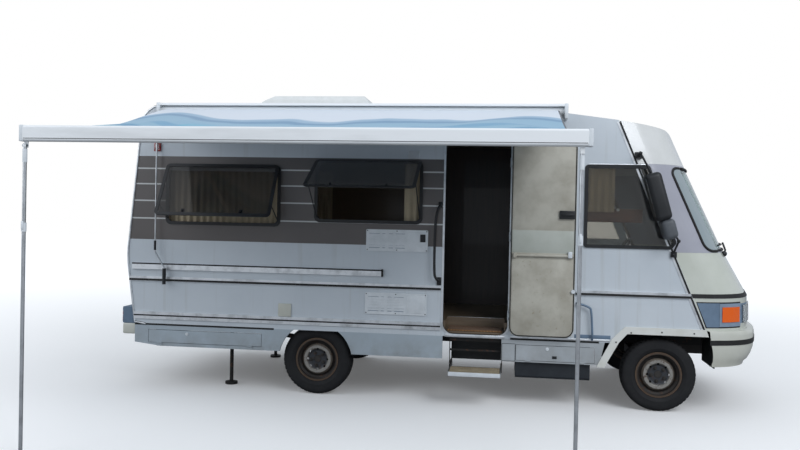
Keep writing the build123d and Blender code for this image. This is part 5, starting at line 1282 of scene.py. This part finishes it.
# %% Grab rail, stay and locks
GRAB_PATH = ((-1962, 0, 1795), (-1964, 34, 1790), (-1985, 50, 1745), (-2004, 50, 1640), (-2006, 50, 1180),
             (-1988, 50, 1128), (-1964, 34, 1106), (-1962, 0, 1102))
grab = [rod("grab_rail", [place(x, RIGHT - out, z) for x, out, z in GRAB_PATH], 12, 12, smooth=6),
        soft_block("grab_foot", (-1982, -1942), (RIGHT - 16, RIGHT), (1066, 1138), 4),
        soft_block("grab_head", (-1980, -1944), (RIGHT - 14, RIGHT), (1770, 1822), 4)]
ride_all("black_grab_rail", grab, "van", dark_plastic, "dark_plastic", 50)
STAY_PATH = ((-729, 0, 946), (-729, 36, 946), (-705, 40, 944), (-622, 40, 917), (-606, 40, 890),
             (-591, 40, 640), (-591, 0, 623))
stay = rod("door_stay_rod", [place(x, RIGHT - out, z) for x, out, z in STAY_PATH], 10, 10, smooth=5)
fit(stay, "van", grille_plastic, "trim_strip", 60)
LOCKS = ((-980, 525, "flap_right_front"), (-4348, 523, "flap_right_rear"))
for x, z, body in LOCKS:
    parts = [disc("flap_lock", (x, RIGHT - 2, z), 15, 6),
             disc("flap_lock_core", (x, RIGHT - 6, z), 7, 4, sides=16)]
    ride_all("lock_" + body, parts, body, white_plastic, "skirt_paint")
pull = soft_block("flap_pull", (-935, -895), (RIGHT - 5, RIGHT), (440, 464), 2)
fit(pull, "flap_right_front", dark_plastic, "dark_plastic")
outline = rounded_ring("locker_outline", (-1384, -1262), (402, 562), (RIGHT - 1, RIGHT + 1), 8, 4)
fit(outline, "van", seal_rubber, "trim_strip")
print("rail, stay and locks done")

# %% Vents, louvre and marker lamp
slots = []
for z_low, z_high in VENTS_Z:
    for column in range(3):
        for row in range(7):
            x, z = -2612 + column * 122, z_low + 24 + row * 22
            slots.append(block("slot_shadow", (x, x + 98), (RIGHT - 7, RIGHT - 5.2), (z + 3, z + 8)))
ride_all("vent_slot_shadows", slots, "van", grille_plastic, "white_plastic")
inlet = soft_block("inlet_cover", (-3460, -3335), (RIGHT - 9, RIGHT), (726, 847), 4, 3)
fit(inlet, "van", bumper_gel, "white_plastic")
lids = [soft_block("slot_lid", (-2256, -2086), (RIGHT - 13, RIGHT - 9), (z_low + 18, z_high - 18), 2)
        for z_low, z_high in VENTS_Z]
ride_all("vent_lids", lids, "van", white_plastic, "white_plastic")
vent_lock = soft_block("vent_lock", (-2140, -2092), (RIGHT - 20, RIGHT - 12), (1452, 1522), 3)
fit(vent_lock, "van", dark_plastic, "dark_plastic")
louvre = [soft_block("louvre_plate", (-2271, -2160), (RIGHT - 6, RIGHT), (2208, 2280), 2)]
louvre += [bar("louvre_blade", (-2262, RIGHT - 8, z), (-2169, RIGHT - 8, z), 9, 2, (0, 0.7, 0.7))
           for z in range(2220, 2276, 11)]
ride_all("wall_louvre", louvre, "van", white_plastic, "white_plastic")
marker = soft_block("marker_lamp", (-4703, -4637), (RIGHT - 16, RIGHT), (2253, 2332), 4)
fit(recess(marker, (0, -1, 0), 9, 3), "van", red_lens, "lamp_lens")
window = soft_block("marker_window", (-4690, -4650), (RIGHT - 17, RIGHT - 12), (2266, 2319), 2)
fit(window, "van", clear_lens, "lamp_lens")
print("vents, louvre and marker lamp done")

# %% [markdown]
# ## The entry door
# The door is folded right back, so its inner side shows: a cream liner in three panels, a shelf rail
# without a shelf, a black handle, a catch and a knob. Three hinge knuckles carry it. The whole leaf
# is made anew from a block, so that the raised panels and the hinges belong to it.

# %% Entry door
DOOR_X, DOOR_Z, DOOR_Y = (-1325.0, -757.0), (637.0, 2405.0), (-1160.0, -1126.0)
LINER_Y = DOOR_Y[0]
HINGE_X = -1334.0
slab = soften(round_corners(block("entry_door_slab", DOOR_X, DOOR_Y, DOOR_Z), "Y", 85, 8), 3, 3)
panels = [slab]
for z in ((655, 1328), (1392, 1580), (1592, 2388)):
    panels.append(soft_block("liner_panel", (-1306, -776), (LINER_Y - 2, LINER_Y + 1), z, 1.2))
rail = rod("shelf_rail", [place(x, LINER_Y - 12, 1362) for x in (-1290, -1000, -775)], 13, 12)
panels += [rail, soft_block("shelf_foot", (-1300, -1270), (LINER_Y - 26, LINER_Y), (1340, 1384), 3)]
for z in (817, 1521, 2185):
    panels.append(disc("hinge_knuckle", (HINGE_X, RIGHT - 13, z), 7, 40, "Z"))
    leaf_x, leaf_y = (HINGE_X + 3.3, DOOR_X[0] + 30), (DOOR_Y[1] - 1, RIGHT - 13)
    panels.append(block("hinge_leaf", leaf_x, leaf_y, (z - 20, z + 20)))
door = ride_all("entry_door_leaf", panels, "entry_door", liner, "door_skin", 40)
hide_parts("entry_door")
seal = rounded_ring("entry_door_seal", (-1322, -760), (640, 2402), (LINER_Y - 4, LINER_Y), 82, 9)
fit(seal, "entry_door", seal_rubber, "dark_plastic")
handle = soft_block("handle_body", (-903, -769), (LINER_Y - 24, LINER_Y), (1690, 1764), 6)
handle = recess(handle, (0, -1, 0), 12, 6)
lever = soft_block("handle_lever", (-892, -782), (LINER_Y - 27, LINER_Y - 15), (1716, 1740), 4)
ride_all("entry_door_handle", [handle, lever], "entry_door", dark_plastic, "dark_plastic")
catches = [soft_block("door_catch", (-822, -786), (LINER_Y - 30, LINER_Y), (1346, 1402), 5),
           disc("door_knob", (-771, LINER_Y - 10, 1052), 17, 22)]
ride_all("entry_door_catches", catches, "entry_door", white_plastic, "white_plastic")
print("entry door done")

# %% [markdown]
# ## Opened windows
# Each tinted pane has a black printed border, two stays that hold it out and two catches at its foot.
# The border is made flat and turned with the pane about the hinge under the top of its frame.

# %% Pane borders, stays, catches and blind
HINGE_Y = RIGHT - 15
OPEN_PANES = (
    # name, x of the pane, z of the pane, opened by, foot of the stay on the frame
    ("rear", (-4566, -3470), (1574, 2132), 30, 1620),
    ("middle", (-3122, -2138), (1624, 2184), 62, 1660),
)
for name, x, z, opened, stay_z in OPEN_PANES:
    turn = turned_about(place(0, HINGE_Y, z[1]), -opened, "X")
    border = [rounded_ring("pane_border", x, z, (HINGE_Y - 11, HINGE_Y + 1), 43, 30)]
    for share in (0.24, 0.74):
        spot = x[0] + (x[1] - x[0]) * share
        border.append(soft_block("pane_catch", (spot - 16, spot + 16), (HINGE_Y + 1, HINGE_Y + 18),
                                 (z[0] + 32, z[0] + 74), 4))
        border.append(soft_block("pane_catch_grip", (spot - 9, spot + 9), (HINGE_Y - 22, HINGE_Y - 10),
                                 (z[0] + 44, z[0] + 62), 3))
    frame_parts = join("pane_border_" + name, border)
    frame_parts.data.transform(turn)
    stays = []
    for end in (x[0] + 12, x[1] - 12):
        high = turn @ place(end, HINGE_Y + 2, z[0] + 130)
        low = place(end, RIGHT - 12, stay_z)
        stays += [rod("pane_stay", [low, high], 5, 8)]
    ride_all("window_stays_" + name, [frame_parts] + stays, "van", dark_frame, "frame_dark")
blind = soft_block("roller_blind", (-4545, -3491), (RIGHT + 12, RIGHT + 34), (2072, 2106), 6, 3)
fit(blind, "van", white_plastic, "white_plastic")
top_line = rod("cab_window_line", [place(-650, RIGHT - 13, 2181), place(-150, RIGHT - 13, 2181)], 5, 8)
fit(top_line, "van", strip_aluminium, "trim_strip")
locker = soft_block("cab_locker", (-690, -170), (RIGHT + 60, RIGHT + 260), (1670, 1791), 4)
fit(locker, "van", locker_veneer, "cabinet_wood")
fit(disc("cab_locker_knob", (-388, RIGHT + 52, 1781), 13, 18), "van", white_plastic, "white_plastic")
print("windows done")

# %% [markdown]
# ## Front end
# Rays find the moulded nose and windscreen, so rubber, strips and lenses lie on them exactly. The
# windscreen goes on round the corner: there it is a thin glossy grey skin over the posts, since
# nothing could be seen through it anyway.

# %% Points on the windscreen and its posts
screen_skin = skin_of("windscreen", "windscreen_surround", "nose_panel")
nose_skin = skin_of("nose_panel", "lamps", "front_grille", "side_wall_right", "side_wall_left")
bumper_skin = skin_of("bumpers")
BACKWARDS = Vector((-1, 0, 0))


def on_screen(y, z, lift):
    """A point on the windscreen, met by a ray from ahead."""
    return meet(screen_skin, place(2000, y, z), BACKWARDS, lift)


# The glass wraps round the corner of the cab. Its side edges run from SCREEN_EDGE's upper to its lower
# end, as (x, height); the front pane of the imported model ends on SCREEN_BEND.
SCREEN_EDGE = ((58.0, 2165.0), (386.0, 1432.0))
SCREEN_BEND = ((160.0, 2165.0), (516.0, 1432.0))
SCREEN_LOW, SCREEN_HIGH, SCREEN_CORNER = 1432.0, 2165.0, 75.0


def edge_x(line, z):
    """Where a line given by two points (x, height) is at this height."""
    (high_x, high_z), (low_x, low_z) = line
    return low_x + (high_x - low_x) * (z - low_z) / (high_z - low_z)


def rounded_in(z):
    """How far the round corners draw the side edge in at this height."""
    near = max(0, SCREEN_CORNER - min(z - SCREEN_LOW, SCREEN_HIGH - z))
    return SCREEN_CORNER - math.sqrt(max(0, SCREEN_CORNER ** 2 - near ** 2))


def on_side(side, x, z, lift):
    """A point on the post beside the windscreen, met by a ray from that side."""
    return meet(screen_skin, place(x, side * 2000, z), Vector((0, -side, 0)), lift)


def side_glass(side):
    """The shape of the glass over one post."""
    def shape(s, t):
        z = SCREEN_LOW + (SCREEN_HIGH - SCREEN_LOW) * t
        start, end = edge_x(SCREEN_EDGE, z) + rounded_in(z), edge_x(SCREEN_BEND, z)
        return on_side(side, start + (end - start) * s, z, 3)
    return shape

# %% Glass over the posts, and the rubber
corner_glass = gel_coat("glass_over_post", "#8b989c", "#939fa2", 0.04)
outline = [on_screen(y, SCREEN_LOW + 6, 1) for y in range(880, -881, -40)]
for side, heights in ((-1, (SCREEN_LOW, SCREEN_HIGH)), (1, (SCREEN_HIGH, SCREEN_LOW))):
    word = "right" if side < 0 else "left"
    glass = thicken(grid("side_glass_" + word, 12, 60, side_glass(side)), 2)
    fit(glass, "van", corner_glass, "window_glass", 60)
    first, last = heights
    bend, edge = edge_x(SCREEN_BEND, first), edge_x(SCREEN_EDGE, first) + SCREEN_CORNER
    outline += [on_side(side, bend + (edge - bend) * k / 4, first, 1) for k in range(5)]
    for step in range(1, 60):
        z = first + (last - first) * (1 - math.cos(math.pi * step / 60)) / 2
        outline.append(on_side(side, edge_x(SCREEN_EDGE, z) + rounded_in(z), z, 1))
    bend, edge = edge_x(SCREEN_BEND, last), edge_x(SCREEN_EDGE, last) + SCREEN_CORNER
    outline += [on_side(side, edge + (bend - edge) * k / 4, last, 1) for k in range(5)]
    if side < 0:
        outline += [on_screen(y, SCREEN_HIGH + 2, 1) for y in range(-880, 881, 40)]
fit(rod("windscreen_rubber", outline, 13, 10, closed=True), "van", seal_rubber, "frame_dark", 60)
print("windscreen done")

# %% Wipers
wipers = []
for pivot_y, low_y, high_y in ((-700, -760, -190), (10, -60, 520)):
    mount = on_screen(pivot_y, 1400, 10)
    middle = on_screen((low_y + high_y) / 2, 1482, 34)
    wipers.append(rod("wiper_arm", [mount, on_screen(pivot_y + 40, 1425, 30), middle], 9, 8))
    wipers.append(ball("wiper_pivot", (0, 0, 0), 26))
    wipers[-1].data.transform(Matrix.Translation(mount - place(0, 0, 0)))
    ends = [low_y + (high_y - low_y) * k / 8 for k in range(9)]
    wipers.append(rod("wiper_blade", [on_screen(y, 1478, 16) for y in ends], 7, 8))
ride_all("wipers", wipers, "van", dark_plastic, "dark_plastic", 60)
print("wipers done")

# %% [markdown]
# ## Bumpers, strips and lamps
# The front bumper is drawn in to a lip along its foot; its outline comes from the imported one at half
# height, so that the new one wraps round the corner in the same way. The lamps wrap round it too: a
# blue-grey panel, an orange flasher in a paler frame, and the headlamp behind its lens.

# %% Bumpers
BUMPER_FORM = (
    # height, how far the front stands back from the fullest line, how far all of it is drawn in
    (428, 118, 52), (426, 112, 8), (450, 106, 6), (478, 62, 4), (520, 32, 1), (570, 10, 0), (640, 2, 0),
    (700, 2, 0), (728, 10, 1), (740, 24, 4), (741, 30, 44),
)
# How far back the ends reach: x at the top, the height where they start to slope, and the slope
BUMPER_BACK = (408.0, 675.0, 0.276)
BUMPER_MIDDLE_X, BUMPER_END_Y, BUMPER_MEASURED_Z = 100, 1100, 600


def bumper_form(s, t):
    """The skin of the front bumper, from one end round to the other and from foot to top."""
    height, back, drawn = BUMPER_FORM[round(t * (len(BUMPER_FORM) - 1))]
    back_x = BUMPER_BACK[0] + max(0, BUMPER_BACK[1] - height) * BUMPER_BACK[2]
    reach = math.atan2(BUMPER_END_Y, back_x - BUMPER_MIDDLE_X)
    angle = reach * (2 * s - 1)
    way = Vector((math.cos(angle), math.sin(angle), 0))
    spot = meet(bumper_skin, place(BUMPER_MIDDLE_X, 0, BUMPER_MEASURED_Z) + way * 2, -way, 0)
    shift = Vector((-back * max(0, math.cos(angle)), 0, 0)) - way * drawn
    return Vector((spot.x, spot.y, height / 1000)) + shift / 1000


front_bumper = thicken(grid("front_bumper", 96, len(BUMPER_FORM) - 1, bumper_form), 4, -1)
fit(front_bumper, "van", bumper_gel, "bumper_plastic", 50)
rear_bumper = soft_block("rear_bumper", (-5005, -4871), (RIGHT + 20, LEFT - 20), (500, 604), 14, 4)
fit(rear_bumper, "van", bumper_gel, "bumper_plastic")
for piece in (front_bumper, rear_bumper):
    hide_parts("bumpers")
for side, word in ((-1, "right"), (1, "left")):
    y = sorted((side * 1078, side * 640))
    fit(block("arch_liner_" + word, (453, 463), y, (412, 688)), "van", dark_plastic, "dark_plastic")
print("bumpers done")

# %% Strips and lamps
nose_strip = follow("nose_strip", nose_skin, (-83, 83), (1024, 1060), 2, 5, 90)
fit(nose_strip, "van", seal_rubber, "trim_strip")
bumper_strip = follow("bumper_strip", bumper_skin, (-74.5, 74.5), (618, 662), 0, 5, 90)
fit(bumper_strip, "van", seal_rubber, "bumper_plastic")
flasher_grey = moulded_plastic("pale_blue_grey_moulding", "#8596a8", "#76879a", 0.45)
LAMP_PARTS = (
    # name, angles from straight ahead, heights, off the skin, thick, steps, slant, finish, slot
    ("lamp_panel_", (75.4, 69.5), (773, 982), 2, 5, 12, 4.4, grille_plastic, "grille_plastic"),
    ("lamp_outline_", (75.8, 56.5), (764, 991), 0, 3, 24, 4.4, seal_rubber, "frame_dark"),
    ("flasher_frame_", (69.4, 56.6), (776, 979), 3, 5, 14, 0, flasher_grey, "frame_dark"),
    ("flasher_lens_", (68.2, 58), (816, 948), 10, 6, 14, 0, orange_lens, "lamp_lens"),
    ("headlamp_mirror_", (54, 33), (812, 960), 3, 4, 20, 0, leg_aluminium, "lamp_lens"),
    ("headlamp_lens_", (54.5, 32.5), (808, 964), 11, 5, 20, 0, clear_lens, "lamp_lens"),
)
for side, word in ((-1, "right"), (1, "left")):
    for name, angles, z, lift, thick, steps, slant, finish, slot in LAMP_PARTS:
        span = [side * angle for angle in angles]
        piece = follow(name + word, nose_skin, span, z, lift, thick, steps, 2, side * slant)
        fit(piece, "van", finish, slot)
print("strips and lamps done")

# %% [markdown]
# ## Mirrors, driver's door and dashboard
# Each mirror arm carries a tall and a small head, which lean back in rounded housings and have their
# glass towards the driver. The right side is made, and the left is its mirror image.

# %% Mirrors
mirror_silver = drawn_aluminium("mirror_silver", "#e8ecee", 0.04, (1, 1, 1))
MIRROR_Y = RIGHT - 105
MIRROR_LEAN = -16


def mirror_glass(name, x, z, size):
    """A silvered plate on the rear face of a mirror head, leaning with it."""
    pairs = (x - 50, x - 46), (MIRROR_Y - size[0], MIRROR_Y + size[0]), (z - size[1], z + size[1])
    plate = soft_block(name, *pairs, 1.5)
    plate.data.transform(turned_about(place(x, MIRROR_Y, z), MIRROR_LEAN, "Y"))
    return plate


def mirror_shell(name, x, z, size, round_mm):
    """A rounded housing round a mirror head, leaning with it."""
    pairs = [(c - half, c + half) for c, half in zip((x, MIRROR_Y, z), size)]
    shell = soft_block(name, *pairs, round_mm, 6)
    shell.data.transform(turned_about(place(x, MIRROR_Y, z), MIRROR_LEAN, "Y"))
    return shell


def fit_both_sides(piece, finish):
    """Fits a right-hand piece and its mirror image."""
    for made in (piece, mirror_copy(piece, piece.name.replace("right", "left"))):
        fit(made, "van", finish, "dark_plastic", 60)


grey_shell = moulded_plastic("mirror_shell_grey", "#4a4e53", "#5a5e62", 0.5)
tall_shell = mirror_shell("tall_mirror_shell_right", -78, 1900, (70, 94, 210), 40)
small_shell = mirror_shell("small_mirror_shell_right", 20, 1622, (60, 86, 88), 38)
fit_both_sides(tall_shell, dark_plastic)
fit_both_sides(small_shell, grey_shell)
plates = [mirror_glass("tall_glass", -98, 1900, (66, 170)), mirror_glass("small_glass", 14, 1622, (58, 58))]
glass = join("mirror_glass_right", plates)
JOINTS = ((-110, MIRROR_Y, 2060), (60, MIRROR_Y, 1560), (-230, RIGHT - 22, 2262), (-230, MIRROR_Y, 2275),
          (110, MIRROR_Y + 10, 1520), (80, RIGHT - 22, 1400))
joints = join("mirror_joints_right", [ball("mirror_joint", spot, 16) for spot in JOINTS])
fit_both_sides(glass, mirror_silver)
fit_both_sides(joints, dark_plastic)
print("mirrors done")

# %% Driver's door and instruments
door_parts = [soft_block("pull", (-600, -470), (LEFT + 8, LEFT + 24), (1335, 1362), 5),
              soft_block("pull_plate", (-612, -458), (LEFT, LEFT + 9), (1318, 1380), 4),
              disc("door_lock", (-435, LEFT + 3, 1349), 14, 8)]
PANE_CORNERS = ((-590, 1470), (-77, 1470), (-361, 2150), (-590, 2150))
corners = [place(x, LEFT + 1, z) for x, z in PANE_CORNERS]
pane_rubber = rod("driver_pane_rubber", corners, 8, 8, closed=True)
ride_all("driver_door_fittings", door_parts + [pane_rubber], "driver_door", dark_plastic, "dark_plastic")
binnacle = soft_block("binnacle", (40, 190), (370, 670), (1240, 1345), 22, 4)
knobs = [disc("dial", (37, y, 1300), 44, 10, "X", 32) for y in (455, 585)]
lever_path = [place(-140, 190, 745), place(-190, 200, 1000), place(-230, 205, 1120)]
lever = rod("gear_lever", lever_path, 9, 10, smooth=4)
brake = rod("hand_brake", [place(-330, 330, 760), place(-560, 330, 900)], 12, 10)
gear_knob = ball("gear_knob", (-230, 205, 1125), 26)
cab_parts = [binnacle, lever, gear_knob, brake] + knobs
ride_all("instruments", cab_parts, "van", dark_plastic, "dark_plastic", 50)
print("driver's door and instruments done")

# %% [markdown]
# ## Awning fittings and roof hatch
# Moulded caps close both ends of the case and the lead rail, and clamps hold the telescopic legs.
# The rail's caps ride on the rail and the clamps on their legs, so that they fold away with them.

# %% End caps, clamps, grips and hatch screws
for word, x in (("rear", (-4643, -4610)), ("front", (-884, -851))):
    cap = soft_block("case_cap_" + word, x, (RIGHT - 115, RIGHT + 1), (2568, 2703), 8, 3)
    fit(cap, "van", white_plastic, "white_plastic")
for word, x, face in (("rear", (-4651, -4622), -4652), ("front", (-872, -843), -842)):
    cap = soft_block("rail_cap", x, (-3327, -3261), (2141, 2253), 7, 3)
    fit(cap, "awning_lead_rail", white_plastic, "white_plastic")
    cap.name = cap.data.name = "rail_cap_" + word
    marks = [disc("rail_cap_screw", (face, -3294, z), 6, 3, "X", 12) for z in (2168, 2226)]
    ride_all("rail_cap_screws_" + word, marks, "awning_lead_rail", dark_plastic, "dark_plastic")
# A thin black strip along the foot of the lead rail: painted shadow under the rail, which only borrows the
# rubber's finish.
rail_shadow_strip = block("rail_gap", (-4618, -876), (-3326, -3322), (2160, 2164))
fit(rail_shadow_strip, "awning_lead_rail", seal_rubber, "dark_plastic")
for word, x, y in (("rear", -4612, -3310.1), ("front", -905, -3278.1)):
    parts = [disc("leg_joint", (x, y, 2045), 15.5, 90, "Z"), disc("leg_clamp", (x, y, 1559), 17, 60, "Z"),
             soft_block("clamp_lever", (x - 8, x + 8), (y - 24, y - 12), (1545, 1600), 3)]
    ride_all("leg_clamps_" + word, parts, "awning_leg_" + word, white_plastic, "white_plastic", 50)
grips = [disc("crank_grip", (-4560, RIGHT - 60, 1070), 17, 150, "Z"),
         disc("crank_sleeve", (-4655, RIGHT - 60, 1360), 11, 90, "Z")]
ride_all("crank_grips", grips, "van", dark_plastic, "dark_plastic", 50)
hatch_screws = [disc("hatch_screw", (x, side * 347, 2800), 8, 4, "Y", 12)
                for x in (-3780, -3340, -2890) for side in (-1, 1)]
ride_all("hatch_screws", hatch_screws, "hatch_lid", dark_plastic, "hatch_plastic")
print("awning fittings done")

# %% [markdown]
# ## Step and mats
# The tread has a white nosing and a ribbed mat, and a coir mat lies in the entrance well. Both mats
# are grids whose height follows a wave, which is far lighter than a shape for each rib or tuft.

# %% Step nosing and mats
coir = woven_cloth("coir_mat", "#6e4f33", "#a07a4e", 14.0, 0.1)
ribbed = moulded_plastic("ribbed_mat", "#a89a80", "#8d8069", 0.8, 4.0)
nosing = soft_block("step_nosing", (-1846, -1391), (RIGHT - 241, RIGHT - 235), (291, 328), 2)
fit(nosing, "step_tread", white_plastic, "white_plastic")


def ribbed_top(s, t):
    """The mat on the tread: 24 ribs along its width."""
    rib = 1.2 * math.sin(2 * math.pi * s * 24)
    return place(-1838 + 440 * s, RIGHT - 230 + 250 * t, 328.5 + rib)


def coir_top(s, t):
    """The coir mat, with low tufts."""
    tuft = 1.5 * math.sin(40 * s + 9 * t) * math.sin(31 * t)
    return place(-1882 + 494 * s, -1042 + 276 * t, 655 + tuft)


# A dark sheet behind the step stands in for the shade under the floor: painted shade.
shade_sheet_behind_step = block("step_housing_back", (-1852, -1385), (-712, -704), (338, 629))
fit(shade_sheet_behind_step, "van", dark_plastic, "chassis_steel")
step_mat = thicken(grid("step_mat", 96, 6, ribbed_top), 2.0, 0)
fit(step_mat, "step_tread", ribbed, "dark_plastic", 60)
door_mat = thicken(grid("door_mat", 40, 24, coir_top), 12.0, 0)
fit(door_mat, "van", coir, "curtain_cloth", 60)
print("step done")

# %% [markdown]
# ## Tail
# The lamps at both rear corners have three fields, and the rear window sits in rubber that rays lay
# on the wall. The left wall has a water filler and a mains inlet, as such vans have.

# %% Rear lamps and window rubber
REAR_FIELDS = (
    # field, its foot and top, lens
    ("brake", (616, 676), red_lens), ("flasher", (680, 712), orange_lens),
    ("reversing", (716, 750), clear_lens),
)
for side, word in ((-1, "right"), (1, "left")):
    y = sorted((side * 1068, side * 884))
    for field, z, finish in REAR_FIELDS:
        lens = soft_block("rear_" + field + "_" + word, (-5013, -5004), y, z, 3)
        fit(lens, "van", finish, "lamp_lens")
rear_skin = skin_of("rear_wall", "window_panes")
FORWARDS = Vector((1, 0, 0))
window_path = rounded_path((-536, 536), (1544, 2146), 50, 6)
path = [meet(rear_skin, place(-7000, y, z), FORWARDS, 1) for y, z in window_path]
fit(rod("rear_window_rubber", path, 12, 10, closed=True), "van", seal_rubber, "frame_dark", 60)
filler = [disc("water_filler", (-2050, LEFT + 5, 905), 62, 12, sides=32),
          disc("filler_lock", (-2050, LEFT + 13, 905), 15, 8),
          soft_block("mains_inlet", (-3080, -2960), (LEFT, LEFT + 18), (790, 930), 6)]
ride_all("left_wall_fittings", filler, "van", white_plastic, "white_plastic")
print("tail done")
